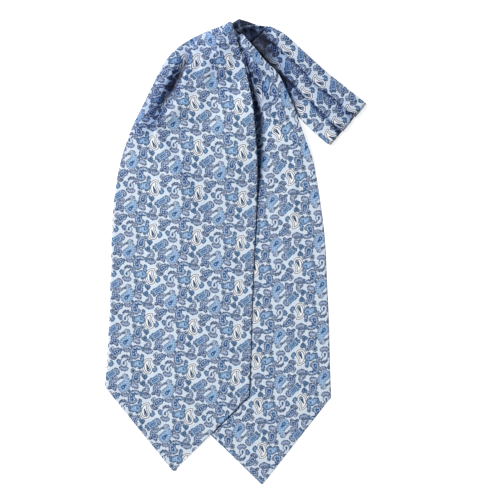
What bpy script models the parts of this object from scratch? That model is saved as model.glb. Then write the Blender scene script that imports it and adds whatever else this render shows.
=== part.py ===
"""Silk cravat, folded in two at the centre of its neckband and laid flat.

The front blade lies over the under blade, and both run into a pleated neckband at the upper right.
Sizes below are in millimetres. X runs to the right, Y towards the throat and Z up from the surface it lies on.
Run with: blender --background --python part.py
"""

from collections import namedtuple

import bmesh
import bpy
import numpy as np

MM = 0.001

# Driving sizes
WALL = 1.2  # two plies of silk with their turned edges
GAP = 0.45  # air kept between one layer and the next
CORE_EDGE = 1.7  # radius of the core's rounded long edges
CORE_GROOVE = 0.5  # depth of the parting between the core's two layers
CORE_INSET = 1.2  # how far the core's far edge stays inside the pleats above it
CORE_SHOW = 1.0  # how far the core's near edge stands out past the pleats above it
CORE_END = 0.5  # share of its height that the core keeps at its two rounded ends
PLEAT_RISE = 1.9  # how far each knife pleat's folded edge stands above its tucked edge
PLEAT_LEVEL = 0.8  # share of its width at which a pleat has reached its full rise
LOWER_RISE = 0.35  # share of that rise at the band's near edge, where no pleat lies below
PLEAT_TUCK = 3.2  # how far each pleat runs on under the next one
PLEAT_DROP = 1.0  # how far the pleats bend down at the band's outer edges
FOLD_DEPTH = 2.0  # how far the bend at the centre back reaches in, past its wall
FOLD_ANGLES = (84, 60, 36, 15)  # how far the cloth has turned down at each row of the bend, in degrees
FOLD_CLEAR = 0.4  # how far the bent end stays above the surface
FOLD_SHARE = 0.5  # share of the pleats' rise that is left round the bend
BUTT_GAP = 0.6  # the pleats lie edge to edge round the bend, this far apart
BUTT_LENGTH = 12.0  # length over which they then slide under each other
TURN_RISE = 5.6  # how far the band rises where it turns over at the throat
BLADE_OVER_BAND = 7.3  # underside of the under blade where the neckband carries it
RAMP = 34.0  # length over which the under blade comes down from the band to the surface
STEP = 16.0  # length over which the front blade comes down from the under blade
THROAT_STEP = 9.0  # the same at the throat, where it comes down from the turn and the core
MARGIN = 2.0  # how far past the edge of a layer the one above it starts to come down
PUFF = 2.5  # how soon each blade reaches its full lift, going in from its left edge
TROUGH_DEPTH = 2.4  # deepest part of the front blade's soft pleat
TROUGH_WIDTH = 9.0
BANK_RISE = 1.2  # how far the cloth to the right of that pleat stands above the cloth to its left
BANK_WIDTH = 30.0
TUCK_DEPTH = 2.7  # parting between the under blade's standing fold and its main plane
TUCK_WIDTH = 2.6
TIP_WIDTH = 2.0  # width left at each pointed end, where the seam is turned
NEAR = 4.0  # spread of the mean by which one layer reads the height of the layer below it
ENVELOPE_POWER = 5  # how closely a layer follows the highest of the layers below it

SILK_COLOUR = (0.33, 0.42, 0.58, 1.0)
SILK_ROUGHNESS = 0.42

# Corners of the sheets: rows down a blade and its point, columns across it as shares of its width, closer
# together where it is creased, and the same for the neckband.
UNDER_ROWS = 34
FRONT_ROWS = 36
POINT_ROWS = 8
UNDER_COLUMNS = np.concatenate([np.linspace(0, 0.44, 8), np.linspace(0.5, 1, 7)])
FRONT_COLUMNS = np.concatenate([[0, 0.04, 0.08], np.linspace(0.12, 0.31, 8), np.linspace(0.34, 1, 9)])
BAND_ROWS = 18
PLEAT_COLUMNS = np.linspace(0, 1, 6)

# Sections across each blade, from the throat to the shoulders of the point. lift is how far the underside
# stands above whatever carries it, at the left and at the right edge.
Section = namedtuple("Section", "left_x left_y right_x right_y left_lift right_lift")
FRONT_SECTIONS = [
    Section(-7.0, 228.6, -4.7, 230.4, 0.2, 0.2),
    Section(-15.0, 224.3, -3.8, 226.5, 0.2, 1.2),
    Section(-25.0, 221.0, -2.2, 221.5, 0.0, 1.8),
    Section(-37.0, 216.4, 0.0, 214.5, 0.0, 2.3),
    Section(-50.0, 209.5, 3.6, 202.5, 0.0, 2.4),
    Section(-62.0, 200.5, 7.0, 191.5, 0.0, 3.0),
    Section(-73.0, 186.5, 10.1, 179.5, 0.0, 4.0),
    Section(-83.0, 166.5, 13.5, 163.5, 0.0, 5.2),
    Section(-93.0, 146.5, 16.7, 147.5, 0.0, 5.8),
    Section(-105.0, 121.5, 19.2, 121.5, 0.0, 5.0),
    Section(-115.0, 91.5, 21.3, 91.5, 0.0, 3.2),
    Section(-122.0, 51.5, 20.7, 51.5, 0.0, 0.9),
    Section(-125.0, -8.5, 18.0, -8.5, 0.0, 0.1),
    Section(-126.5, -58.5, 15.9, -62.5, 0.0, 0.0),
    Section(-128.5, -98.5, 14.8, -104.5, 0.0, 0.0),
    Section(-131.0, -135.5, 13.0, -144.5, 0.0, 0.0),
]
FRONT_POINT = (-62.6, -220.2)
UNDER_SECTIONS = [
    Section(3.6, 215.4, 6.5, 217.2, 1.4, 1.4),
    Section(0.0, 206.5, 11.0, 211.8, 2.2, 2.2),
    Section(-6.0, 193.5, 20.4, 201.1, 2.3, 2.3),
    Section(-14.0, 176.5, 28.9, 190.4, 1.6, 2.3),
    Section(-23.0, 156.5, 41.0, 178.8, 0.9, 2.0),
    Section(-32.0, 133.5, 50.0, 161.5, 0.4, 1.7),
    Section(-40.0, 111.5, 56.4, 147.5, 0.1, 1.2),
    Section(-47.5, 86.5, 63.0, 130.5, 0.0, 0.5),
    Section(-52.0, 66.5, 69.6, 111.5, 0.0, 0.1),
    Section(-54.5, 48.5, 76.8, 91.5, 0.0, 0.0),
    Section(-56.0, 33.5, 80.9, 71.5, 0.0, 0.0),
    Section(-57.0, 20.5, 84.0, 51.5, 0.0, 0.0),
    Section(-56.5, -14.5, 88.9, 11.5, 0.0, 0.0),
    Section(-55.0, -48.5, 90.9, -28.5, 0.0, 0.0),
    Section(-54.0, -82.5, 92.8, -68.5, 0.0, 0.0),
    Section(-53.0, -120.5, 93.8, -108.5, 0.0, 0.0),
    Section(-51.0, -158.5, 95.0, -145.8, 0.0, 0.0),
]
UNDER_POINT = (26.2, -233.5)

# Sections across the neckband, from the fold at the centre back to the throat. The folds are the pleats' folded
# edges, as shares of the width from the far edge.
BandSection = namedtuple("BandSection", "far_x far_y near_x near_y upper_fold middle_fold core_height")
BAND_SECTIONS = [
    BandSection(131.9, 146.4, 95.6, 105.5, 0.31, 0.655, 3.4),
    BandSection(113.0, 161.5, 81.0, 117.5, 0.31, 0.66, 3.4),
    BandSection(88.0, 181.5, 60.0, 138.5, 0.32, 0.64, 3.4),
    BandSection(66.0, 201.5, 39.0, 163.0, 0.31, 0.67, 3.2),
    BandSection(46.0, 219.0, 21.0, 185.0, 0.33, 0.69, 2.9),
    BandSection(33.5, 225.3, 10.0, 204.0, 0.36, 0.70, 2.7),
]
# The core runs on past the pleats to the top of the throat. Its rows are shares of the way from the centre
# back.
THROAT_SECTIONS = [
    BandSection(23.5, 226.6, 0.5, 214.5, 0.0, 0.0, 2.8),
    BandSection(12.0, 230.8, -5.0, 221.5, 0.0, 0.0, 3.2),
    BandSection(3.9, 233.2, -7.5, 226.0, 0.0, 0.0, 3.4),
]
CORE_ROWS = np.concatenate([[0.02, 0.027], np.linspace(0.06, 0.97, 26), [0.992, 1.0]])
# Half of the outline of a section through the core, from its underside round the far edge to its top.
EdgePoint = namedtuple("EdgePoint", "inward height groove")
CORE_PROFILE = [
    EdgePoint(1.0, 0.0, 0),
    EdgePoint(0.25, 0.16, 0),
    EdgePoint(0.0, 0.34, 0),
    EdgePoint(0.0, 0.5, 1),
    EdgePoint(0.0, 0.66, 0),
    EdgePoint(0.25, 0.84, 0),
    EdgePoint(1.0, 1.0, 0),
]
# Where the pleats turn over: the foot of the rise and its rim, from the near to the far side.
TurnSection = namedtuple("TurnSection", "foot_x foot_y rim_x rim_y")
TURN_SECTIONS = [
    TurnSection(8.7, 205.0, -1.2, 217.4),
    TurnSection(14.5, 209.0, 2.2, 219.6),
    TurnSection(20.0, 213.7, 6.8, 222.6),
    TurnSection(25.0, 218.5, 12.5, 224.5),
    TurnSection(29.3, 222.7, 18.5, 224.9),
    TurnSection(32.3, 225.3, 23.8, 225.1),
]
# The rise: its share of the way from the foot to the rim, and its share of the height.
TurnPoint = namedtuple("TurnPoint", "way height")
TURN_PROFILE = [
    TurnPoint(0.0, 0.0),
    TurnPoint(0.3, 0.04),
    TurnPoint(0.5, 0.18),
    TurnPoint(0.68, 0.48),
    TurnPoint(0.82, 0.8),
    TurnPoint(0.93, 0.97),
    TurnPoint(1.0, 1.0),
    TurnPoint(1.08, 0.86),
    TurnPoint(1.14, 0.62),
]

# The front blade's soft pleat: its line as a share of the blade's width, and how much of its depth is there.
PleatPoint = namedtuple("PleatPoint", "at_y share depth")
SOFT_PLEAT = [
    PleatPoint(212.0, 0.16, 0.3),
    PleatPoint(198.0, 0.21, 0.7),
    PleatPoint(176.0, 0.27, 1.0),
    PleatPoint(156.0, 0.245, 0.8),
    PleatPoint(128.0, 0.19, 0.35),
    PleatPoint(100.0, 0.16, 0.0),
]
# The parting beside the under blade's standing fold, from the throat down.
TuckPoint = namedtuple("TuckPoint", "x y depth")
TUCK_LINE = [
    TuckPoint(5.6, 213.0, 0.5),
    TuckPoint(7.2, 206.0, 1.0),
    TuckPoint(9.0, 199.0, 1.0),
    TuckPoint(12.4, 190.0, 1.0),
    TuckPoint(14.2, 182.0, 1.0),
    TuckPoint(15.6, 173.0, 0.9),
    TuckPoint(18.5, 158.0, 0.4),
    TuckPoint(20.0, 145.0, 0.0),
]


def through(sections, stations):
    """Rows through the sections on one smooth curve, at shares of the way along the middle of the cloth."""
    table = np.array(sections, float)
    middle = (table[:, 0:2] + table[:, 2:4]) / 2
    at = np.concatenate([[0], np.cumsum(np.linalg.norm(np.diff(middle, axis=0), axis=1))])
    slope = np.gradient(table, at, axis=0)
    wanted = np.asarray(stations) * at[-1]
    low = np.clip(np.searchsorted(at, wanted, side="right") - 1, 0, len(at) - 2)
    span = (at[low + 1] - at[low])[:, None]
    t = (wanted - at[low])[:, None] / span
    value = table[low] * (1 + 2 * t) * (1 - t) ** 2 + table[low + 1] * t * t * (3 - 2 * t)
    return value + span * (slope[low] * t * (1 - t) ** 2 - slope[low + 1] * t * t * (1 - t))


def length(sections):
    """The length of the cloth that the sections hold, along its middle."""
    table = np.array(sections, float)
    return np.linalg.norm(np.diff((table[:, 0:2] + table[:, 2:4]) / 2, axis=0), axis=1).sum()


def pointed(rows, point, count):
    """The rows with a pointed end added, which narrows straight to the point."""
    last = rows[-1]
    width = np.linalg.norm(last[2:4] - last[0:2])
    end = last.copy()
    end[0:4] = np.concatenate([point, point]) + (last[0:4] - np.tile(point, 2)) * TIP_WIDTH / width
    steps = np.linspace(0, 1, count + 1)[1:, None]
    return np.concatenate([rows, last + (end - last) * steps])


def across(rows, shares):
    """A grid of plan points: one row for each section, one column for each share of the width."""
    shares = np.broadcast_to(shares, (len(rows), np.shape(shares)[-1]))[..., None]
    return rows[:, None, 0:2] * (1 - shares) + rows[:, None, 2:4] * shares


def outline(rows):
    """The closed outline of a run of rows."""
    return np.concatenate([rows[:, 0:2], rows[::-1, 2:4]])


def distance(points, line, closed=True):
    """How far each point is from a line of plan points, and the share of the way along it."""
    ends = np.roll(line, -1, axis=0) if closed else line[1:]
    starts = line if closed else line[:-1]
    run = ends - starts
    offset = points[..., None, :] - starts
    t = np.clip((offset * run).sum(-1) / (run**2).sum(-1), 0, 1)
    gap = np.linalg.norm(offset - t[..., None] * run, axis=-1)
    nearest = gap.argmin(-1)
    along = (nearest + np.take_along_axis(t, nearest[..., None], -1)[..., 0]) / len(starts)
    return gap.min(-1), along


def inside(points, line):
    """Which points lie inside a closed outline, by counting the edges to their right."""
    x, y = points[..., 0, None], points[..., 1, None]
    x1, y1 = line.T
    x2, y2 = np.roll(line, -1, axis=0).T
    rise = np.where(y2 == y1, 1.0, y2 - y1)
    crosses = ((y1 > y) != (y2 > y)) & (x < x1 + (y - y1) / rise * (x2 - x1))
    return crosses.sum(-1) % 2 == 1


def soft(t):
    """1 at t = 0, falling smoothly to 0 at t = 1."""
    t = np.clip(t, 0, 1)
    return 1 - t * t * (3 - 2 * t)


def cover(points, rows, reach):
    """1 over the cloth that these rows hold, falling to 0 over a distance of reach outside it."""
    line = outline(rows)
    gap = np.where(inside(points, line), 0.0, distance(points, line)[0])
    return soft((gap - MARGIN) / reach)


def highest(*heights):
    """A smooth upper envelope, never below the highest of the heights."""
    return (np.maximum(heights, 0) ** ENVELOPE_POWER).sum(0) ** (1 / ENVELOPE_POWER)


def lifted(rows, shares):
    """The rows' own lift across the cloth, which rises quickly from the left edge and then more slowly."""
    rounding = 1 - (1 - np.asarray(shares)) ** PUFF
    return rows[:, 4, None] * (1 - rounding) + rows[:, 5, None] * rounding


def height_over(points, surface):
    """The height of a surface above plan points, as a mean of its corners that favours the near ones."""
    corners = surface.reshape(-1, 3)
    away = ((points[..., None, :] - corners[:, 0:2]) ** 2).sum(-1)
    away -= away.min(-1, keepdims=True)
    weight = np.exp(-away / (2 * NEAR**2))
    return (weight * corners[:, 2]).sum(-1) / weight.sum(-1)


def height_map(points, heights):
    return np.concatenate([points, heights[..., None]], axis=-1)


def silk(name):
    material = bpy.data.materials.new(name)
    material.use_nodes = True
    shader = material.node_tree.nodes["Principled BSDF"]
    shader.inputs["Base Color"].default_value = SILK_COLOUR
    shader.inputs["Roughness"].default_value = SILK_ROUGHNESS
    shader.inputs["Metallic"].default_value = 0.0
    return material


def add_object(name, mesh, collection):
    mesh.materials.append(silk(name))
    piece = bpy.data.objects.new(name, mesh)
    collection.objects.link(piece)
    return piece


def sheet(name, surface, collection):
    """A sheet of cloth whose underside is the given grid of points, with its wall standing on it."""
    rows, columns = surface.shape[:2]
    form = bmesh.new()
    bmesh.ops.create_grid(form, x_segments=columns - 1, y_segments=rows - 1, size=1)
    for corner in form.verts:
        column = round((corner.co.x + 1) / 2 * (columns - 1))
        row = round((corner.co.y + 1) / 2 * (rows - 1))
        corner.co = surface[rows - 1 - row, column] * MM
    bmesh.ops.recalc_face_normals(form, faces=form.faces)
    if sum(face.normal.z for face in form.faces) < 0:
        bmesh.ops.reverse_faces(form, faces=form.faces)
    mesh = bpy.data.meshes.new(name)
    form.to_mesh(mesh)
    form.free()
    mesh.shade_smooth()
    piece = add_object(name, mesh, collection)
    wall = piece.modifiers.new("wall", "SOLIDIFY")
    wall.thickness = WALL * MM
    wall.offset = 1
    return piece


def core_ring(section, fullness):
    """One ring round the core: a flat underside, rounded edges and a parting between its two layers."""
    far, near, height = section[0:2], section[2:4], section[6]
    along = (near - far) / np.linalg.norm(near - far)
    edge = min(CORE_EDGE, height / 2)
    points = []
    for start, inward, profile in ((far, along, CORE_PROFILE), (near, -along, CORE_PROFILE[::-1])):
        for point in profile:
            spot = start + inward * (point.inward * edge + point.groove * CORE_GROOVE)
            points.append((*spot, height * (0.5 + (point.height - 0.5) * fullness)))
    return points


def core(name, rows, collection):
    """The hidden pleats, lofted through rings and closed at both ends."""
    rings = [core_ring(section, 1.0) for section in rows]
    for end in (0, -1):
        rings[end] = core_ring(rows[end], CORE_END)
    form = bmesh.new()
    loops = []
    for ring in rings:
        corners = [form.verts.new(np.array(point) * MM) for point in ring]
        loops.append([form.edges.new((corners[i - 1], corners[i])) for i in range(len(corners))])
    for first, second in zip(loops, loops[1:]):
        bmesh.ops.bridge_loops(form, edges=first + second)
    for loop in (loops[0], loops[-1]):
        bmesh.ops.holes_fill(form, edges=loop)
    bmesh.ops.recalc_face_normals(form, faces=form.faces)
    mesh = bpy.data.meshes.new(name)
    form.to_mesh(mesh)
    form.free()
    return add_object(name, mesh, collection)


def core_rows():
    """The core's rows: the pleats' own, drawn in at the far edge and let out at the near one."""
    rows = through(BAND_SECTIONS + THROAT_SECTIONS, CORE_ROWS)
    run = rows[:, 2:4] - rows[:, 0:2]
    run /= np.linalg.norm(run, axis=1)[:, None]
    rows[:, 0:2] += run * CORE_INSET
    rows[:, 2:4] += run * CORE_SHOW
    return rows


def build_pleats(collection):
    """The three knife pleats that show, bent down round the core at the centre back.

    Each pleat rises from its tucked edge, below the next one, to its own fold. Round the bend that rise turns
    with the cloth, so the raised folds stand furthest out.
    """
    bend = np.radians(FOLD_ANGLES)
    outermost = WALL + FOLD_SHARE * PLEAT_RISE
    flat = np.linspace(outermost + FOLD_DEPTH, length(BAND_SECTIONS), BAND_ROWS)
    inset = np.concatenate([outermost + FOLD_DEPTH * (1 - np.sin(bend)), flat])
    band = through(BAND_SECTIONS, inset / length(BAND_SECTIONS))
    turned = np.concatenate([bend, 0 * flat])[:, None]
    width = np.linalg.norm(band[:, 2:4] - band[:, 0:2], axis=1)
    outward = np.array([band[0, 1] - band[0, 3], band[0, 2] - band[0, 0]]) / width[0]
    base = (band[:, 6, None] + GAP) * np.cos(turned)
    beside = soft((inset - flat[0]) / BUTT_LENGTH)
    tuck = (PLEAT_TUCK * (1 - beside) - BUTT_GAP * beside) / width
    risen = 1 - (1 - FOLD_SHARE) * np.sin(turned)
    upper, middle = band[:, 4], band[:, 5]
    # Start and end of each pleat as shares of the width, and how much of the rise it has.
    pleats = [
        ("neckband_pleat_upper", 0 * upper, upper, 1.0),
        ("neckband_pleat_middle", upper - tuck, middle, 1.0),
        ("neckband_pleat_lower", middle - tuck, 0 * middle + 1, LOWER_RISE),
    ]
    for name, start, end, share_of_rise in pleats:
        rise = share_of_rise * PLEAT_RISE * (1 - soft(PLEAT_COLUMNS / PLEAT_LEVEL)) * risen
        plan = across(band, start[:, None] + (end - start)[:, None] * PLEAT_COLUMNS)
        plan += (rise * np.sin(turned))[..., None] * outward
        heights = base + rise * np.cos(turned)
        if name == "neckband_pleat_upper":
            heights[:, 0] -= PLEAT_DROP * np.cos(turned[:, 0])
        sheet(name, height_map(plan, np.maximum(heights, FOLD_CLEAR)), collection)


def build_turn(collection):
    """The pleats where they rise out of the hollow at the throat and turn over."""
    rows = np.array(TURN_SECTIONS, float)
    profile = np.array(TURN_PROFILE)
    plan = across(rows, profile[:, 0])
    heights = THROAT_SECTIONS[0].core_height + GAP + TURN_RISE * np.tile(profile[:, 1], (len(rows), 1))
    surface = height_map(plan, heights)
    sheet("neckband_turn", surface, collection)
    return surface


def build_under_blade(band, collection):
    rows = pointed(through(UNDER_SECTIONS, np.linspace(0, 1, UNDER_ROWS)), UNDER_POINT, POINT_ROWS)
    plan = across(rows, UNDER_COLUMNS)
    lift = lifted(rows, UNDER_COLUMNS)
    tucks = np.array(TUCK_LINE, float)
    gap, along = distance(plan, tucks[:, 0:2], closed=False)
    depth = np.interp(along * (len(tucks) - 1), np.arange(len(tucks)), tucks[:, 2])
    lift -= np.minimum(TUCK_DEPTH * depth * soft(gap / TUCK_WIDTH), lift)
    surface = height_map(plan, cover(plan, band, RAMP) * BLADE_OVER_BAND + lift)
    sheet("blade_under", surface, collection)
    return rows, surface


def build_front_blade(band, turn, under, collection):
    rows = pointed(through(FRONT_SECTIONS, np.linspace(0, 1, FRONT_ROWS)), FRONT_POINT, POINT_ROWS)
    plan = across(rows, FRONT_COLUMNS)
    under_rows, under_surface = under
    above_under = cover(plan, under_rows, STEP) * (height_over(plan, under_surface) + WALL + GAP)
    turn_rows = np.concatenate([turn[:, 0, 0:2], turn[:, -1, 0:2]], axis=1)
    above_turn = cover(plan, turn_rows, THROAT_STEP) * (turn[..., 2].max() + WALL + GAP)
    above_core = cover(plan, band, THROAT_STEP) * (THROAT_SECTIONS[-1].core_height + GAP)
    lift = lifted(rows, FRONT_COLUMNS)
    pleat = np.array(SOFT_PLEAT, float)[::-1]
    middle_y = (rows[:, 1] + rows[:, 3]) / 2
    line = np.interp(middle_y, pleat[:, 0], pleat[:, 1])
    depth = np.interp(middle_y, pleat[:, 0], pleat[:, 2], left=0, right=0)
    width = np.linalg.norm(rows[:, 2:4] - rows[:, 0:2], axis=1)
    aside = (FRONT_COLUMNS - line[:, None]) * width[:, None]
    lift -= np.minimum(TROUGH_DEPTH * depth[:, None] * soft(np.abs(aside) / TROUGH_WIDTH), lift)
    lift += BANK_RISE * depth[:, None] * soft(aside / BANK_WIDTH) * (1 - soft(aside / TROUGH_WIDTH * 2))
    surface = height_map(plan, highest(above_under, above_turn, above_core) + lift)
    sheet("blade_front", surface, collection)


def main():
    for piece in list(bpy.data.objects):
        bpy.data.objects.remove(piece)
    collection = bpy.data.collections.new("silk_cravat")
    bpy.context.scene.collection.children.link(collection)
    band = core_rows()
    core("neckband_core", band, collection)
    build_pleats(collection)
    turn = build_turn(collection)
    under = build_under_blade(band, collection)
    build_front_blade(band, turn, under, collection)


main()
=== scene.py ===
"""Silk cravat, folded in two at the centre of its neckband and laid flat.

The front blade lies over the under blade, and both run into a pleated neckband at the upper right. The tables
below are in millimetres: X runs to the right, Y towards the throat and Z up from the surface it lies on.
"""

import math
from collections import namedtuple

import bmesh
import bpy
import numpy as np
from bpy.props import FloatProperty, FloatVectorProperty, PointerProperty
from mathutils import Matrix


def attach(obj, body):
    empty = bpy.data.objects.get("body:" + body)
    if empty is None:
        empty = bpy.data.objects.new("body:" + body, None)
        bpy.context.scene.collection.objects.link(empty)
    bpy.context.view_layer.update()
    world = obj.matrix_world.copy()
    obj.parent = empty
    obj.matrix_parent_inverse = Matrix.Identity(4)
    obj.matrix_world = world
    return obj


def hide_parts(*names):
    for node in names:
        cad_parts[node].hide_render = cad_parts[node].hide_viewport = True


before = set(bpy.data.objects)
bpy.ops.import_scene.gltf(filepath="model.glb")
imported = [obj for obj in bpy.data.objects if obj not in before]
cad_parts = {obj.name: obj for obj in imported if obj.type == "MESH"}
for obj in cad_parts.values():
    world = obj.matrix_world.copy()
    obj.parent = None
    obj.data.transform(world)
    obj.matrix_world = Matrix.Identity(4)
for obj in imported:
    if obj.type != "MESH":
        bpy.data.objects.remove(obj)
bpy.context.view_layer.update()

bl_info = {
    "name": "Silk cravat",
    "version": (1, 0, 0),
    "blender": (4, 5, 0),
    "location": "View3D > Sidebar > Cravat",
    "description": "A printed silk cravat, folded in two and laid flat",
    "category": "Add Mesh",
}

MM = 0.001

# How one layer is carried by the ones below it, as in the solids
GAP = 0.45
WALL = 1.2
BLADE_OVER_BAND = 7.3
TURN_RISE = 5.6
TURN_SINK = 0.2
RAMP = 34.0
STEP = 42.0
TURN_STEP = 19.8
CORE_STEP = 18.0
MARGIN = 2.0
PUFF = 2.5
NEAR = 4.0
ENVELOPE_POWER = 5
FLOOR_CLEAR = 0.15
TIP_WIDTH = 2.0

# The blades' folds: how they are bent, how far they stand, and how far beside them that can be seen
HOLD_SHARE = 0.24
LEAST_HOLD = 3.0
LEAST_TURN = 0.02
LEAST_BEND = 0.5
LEAST_STEP = 0.01
PLEAT_STAND = 1.8
CREASE_STAND = 0.3
STAND_OPENING = math.radians(110)
FOLD_FADE = 24.0
DROOP_REACH = 9.0
TUCK_SWELL = 1.25
TUCK_PAST = 3.0
TUCK_REACH = 14.0
LIP_STAND = 2.2
LIP_REACH = 26.0

# The neckband's pleats and the core below them
CORE_EDGE = 1.7
CORE_INSET = 1.2
CORE_SHOW = 1.0
PLEAT_RISE = 1.9
PLEAT_SOON = 5.5
PLEAT_LEVEL = 0.8
SOON_SHARE = 0.6
LOWER_RISE = 0.35
PLEAT_TUCK = 3.2
PLEAT_DROP = 1.0
PLEAT_TIGHTNESS = 0.8
FOLD_DEPTH = 2.0
FOLD_CLEAR = 0.4
HEM_CLEAR = 0.45
FOLD_SHARE = 0.5
BUTT_GAP = 0.6
BUTT_LENGTH = 12.0
THROAT_SINK = 1.3
THROAT_SINK_LENGTH = 18.0

# Round the band's folded end and round each pleat's folded edge, in degrees, and how far the hem runs back
END_BEND = (84, 3, 14)
EDGE_TURNS = (22, 45, 68, 90, 112, 135, 158, 180)
EDGE_RETURN = np.array([1.0, 2.5, 4.0])
Pleat = namedtuple("Pleat", "name start end rise shade print_offset")

# Painted shade: how dark the colour is painted in the folds, beside the tables further down
PLEAT_PAINTED_SHADE = 0.8
PLEAT_PAINTED_SHADE_REACH = 4.0
LIP_PAINTED_SHADE = 0.5
CORE_PAINTED_SHADE = 0.5
DEEPEST_PAINTED_SHADE = 0.95

# How fine the pieces' grids are, and the thinning of a sheet's outermost points
BLADE_ROWS = 190
LAST_ROW = BLADE_ROWS - 1
POINT_ROWS = 44
BEND_STEPS = 7
FRONT_COLUMNS = (30, 30, 56)
UNDER_COLUMNS = (44, 60)
BAND_ROWS = 74
PLEAT_COLUMNS = np.concatenate([[0, 0.012, 0.03], np.linspace(0.06, 0.94, 21), [0.97, 1]])
CORE_STATIONS = np.concatenate([[0.028, 0.031, 0.035], np.linspace(0.043, 0.98, 90), [0.99, 0.996, 1]])
TURN_GRID = (50, 40)
COARSE_ROWS = 60
COARSE_POINT_ROWS = 12
COARSE_COLUMNS = 24
COARSE_TURN = (12, 12)
COARSE_STATIONS = np.linspace(0.02, 1, 30)
CROSSING_STEPS = 400
CROSSING_REACH = 3
POINTS_AT_ONCE = 2000
EDGE_SHARES = (0.16, 0.4)

# What changes down each blade: the places in Y, then the values there
FRONT_CALM = ([150, 200], [1.0, 0.7])
FRONT_STAND = ([182, 208], [1.0, 0.3])
FRONT_DROOP = ([140, 172, 200, 224], [0.0, 0.8, 0.2, 0.0])
UNDER_LIP = ([112, 140, 165, 200, 216], [0.0, 0.5, 1.0, 1.0, 0.7])
UNDER_PRINT_EDGE = ([-100, 30, 75, 120, 160], [29, 28, 26, 24, 26])
FRONT_PRINT_EDGE = 14.5

# The print's repeat, its slant on the neckband and its offsets there
REPEAT = 44.0
SLANT_COS = 0.68
SLANT_SIN = 0.73
UPPER_PRINT = (179.615, 97.5)
MIDDLE_PRINT = (162.215, 99.0)
LOWER_PRINT = (148.215, 95.3)
CORE_PRINT = (167.115, 75.3)
TURN_STRETCH = 0.2

# The print's inks, from the heart of each kind of motif outwards: the distance from its edge and the ink there
WHITE_CONE = [(-2.3, "white"), (-2.05, "fine"), (-1.6, "fine"), (-1.35, "white"), (-0.5, "white"), (-0.3, "fine"),
              (0.2, "fine"), (0.45, "white"), (0.9, "white"), (1.1, "ground")]
CORE_INKS = [(-1.2, "deep"), (-0.1, "deep"), (0.2, "blue")]
LAYERS = {
    "light": [(-3.2, "light"), (-2.0, "light"), (-1.2, "blue"), (-0.6, "blue"), (-0.35, "line"), (0.1, "line"),
              (0.4, "ground")],
    "large": [(-4.4, "blue"), (-3.4, "light"), (-1.6, "light"), (-1.3, "deep"), (-1.1, "blue"), (-0.4, "blue"),
              (-0.2, "line"), (0.15, "line"), (0.4, "ground")],
    "pod": [(-2.8, "blue"), (-1.9, "blue"), (-1.7, "pale"), (-1.4, "pale"), (-1.1, "plum"), (-0.5, "line"),
            (0.1, "line"), (0.35, "ground")],
    "dark": [(-3.4, "deep"), (-2.0, "deep"), (-1.6, "plum"), (-1.0, "plum"), (-0.5, "line"), (0.1, "line"),
             (0.35, "ground")],
    "plum": [(-2.4, "pale"), (-1.7, "plum"), (-0.9, "plum"), (-0.5, "line"), (0.0, "line"), (0.3, "ground")],
    "rings": [(-1.8, "line"), (-1.3, "line"), (-1.0, "pale"), (-0.7, "pale"), (-0.5, "line"), (0.05, "line"),
              (0.4, "ground")],
    "solid": [(-2.0, "plum"), (-1.2, "blue"), (-0.7, "slate"), (0.1, "slate"), (0.4, "ground")],
    "arcs": [(-0.9, "plum"), (-0.4, "line"), (0.1, "line"), (0.4, "ground")],
    "opened": [(-1.6, "ground"), (-0.7, "pale"), (-0.4, "line"), (0.1, "line"), (0.4, "pale")],
}
LAYER_EDGE = 0.4
CORE_LIMIT = 0.1
SCALLOP = 2 * math.pi * 15 / REPEAT
SCALLOP_DEPTH = 0.4
STIPPLE = 2 * math.pi * 10 / REPEAT
STIPPLED = ("light", "large", "pod", "dark", "plum")
STIPPLE_EDGE = -0.7
STIPPLE_LEVEL = 0.5
STIPPLES = (("pale", 1.8, 0.6), ("line", -1.8, 0.45))

# How much the painted shade in the folds deepens the print's dark inks, and the silk's finish
PAINTED_SHADE_CONTRAST = 1.3
RIB = 2 * math.pi / 0.8
RIB_HEIGHT = 0.012
WAVE_SCALE = 0.07
WAVE_HEIGHT = 0.3
SPECULAR = 0.35
SHEEN_ROUGHNESS = 0.4

# The stage, in metres
TABLE = 3
TABLE_GREY = (0.5, 0.5, 0.5, 1)
TABLE_ROUGHNESS = 0.9
LAMP_PLACE = (-2.39, 1.67, 3.02)
ROOM_COLOUR = (0.74, 0.86, 1, 1)
CAMERA_PLACE = (0.014, 0.0015, 3.0)
CAMERA_REACH = 20
SENSOR = 36
FIELD = 0.5


def named_rows(kind, rows):
    """A short table, with the columns that its kind of row names."""
    return [kind(*row) for row in rows]


def creases(*lines):
    return [named_rows(Crease, line) for line in lines]


Section = namedtuple("Section", "left_x left_y right_x right_y left_lift right_lift", defaults=(0, 0))
FRONT_SECTIONS = named_rows(Section, [
    (-7, 228.6, -4.7, 230.4, 0.2, 0.2), (-15, 224.3, -3.8, 226.5, 0.2, 1.2), (-25, 221, -2.2, 221.5, 0, 1.8),
    (-37, 216.4, 0, 214.5, 0, 2.3), (-50, 209.5, 3.6, 202.5, 0, 2.4), (-62, 200.5, 7, 191.5, 0, 3),
    (-73, 186.5, 10.1, 179.5, 0, 4), (-83, 166.5, 13.5, 163.5, 0, 5.2), (-93, 146.5, 16.7, 147.5, 0, 5.8),
    (-105, 121.5, 19.2, 121.5, 0, 5), (-115, 91.5, 21.3, 91.5, 0, 3.2), (-122, 51.5, 20.7, 51.5, 0, 0.9),
    (-125, -8.5, 18, -8.5, 0, 0.1), (-126.5, -58.5, 15.9, -62.5), (-128.5, -98.5, 14.8, -104.5),
    (-131, -135.5, 13, -144.5),
])
FRONT_POINT = (-62.6, -220.2)
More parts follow.
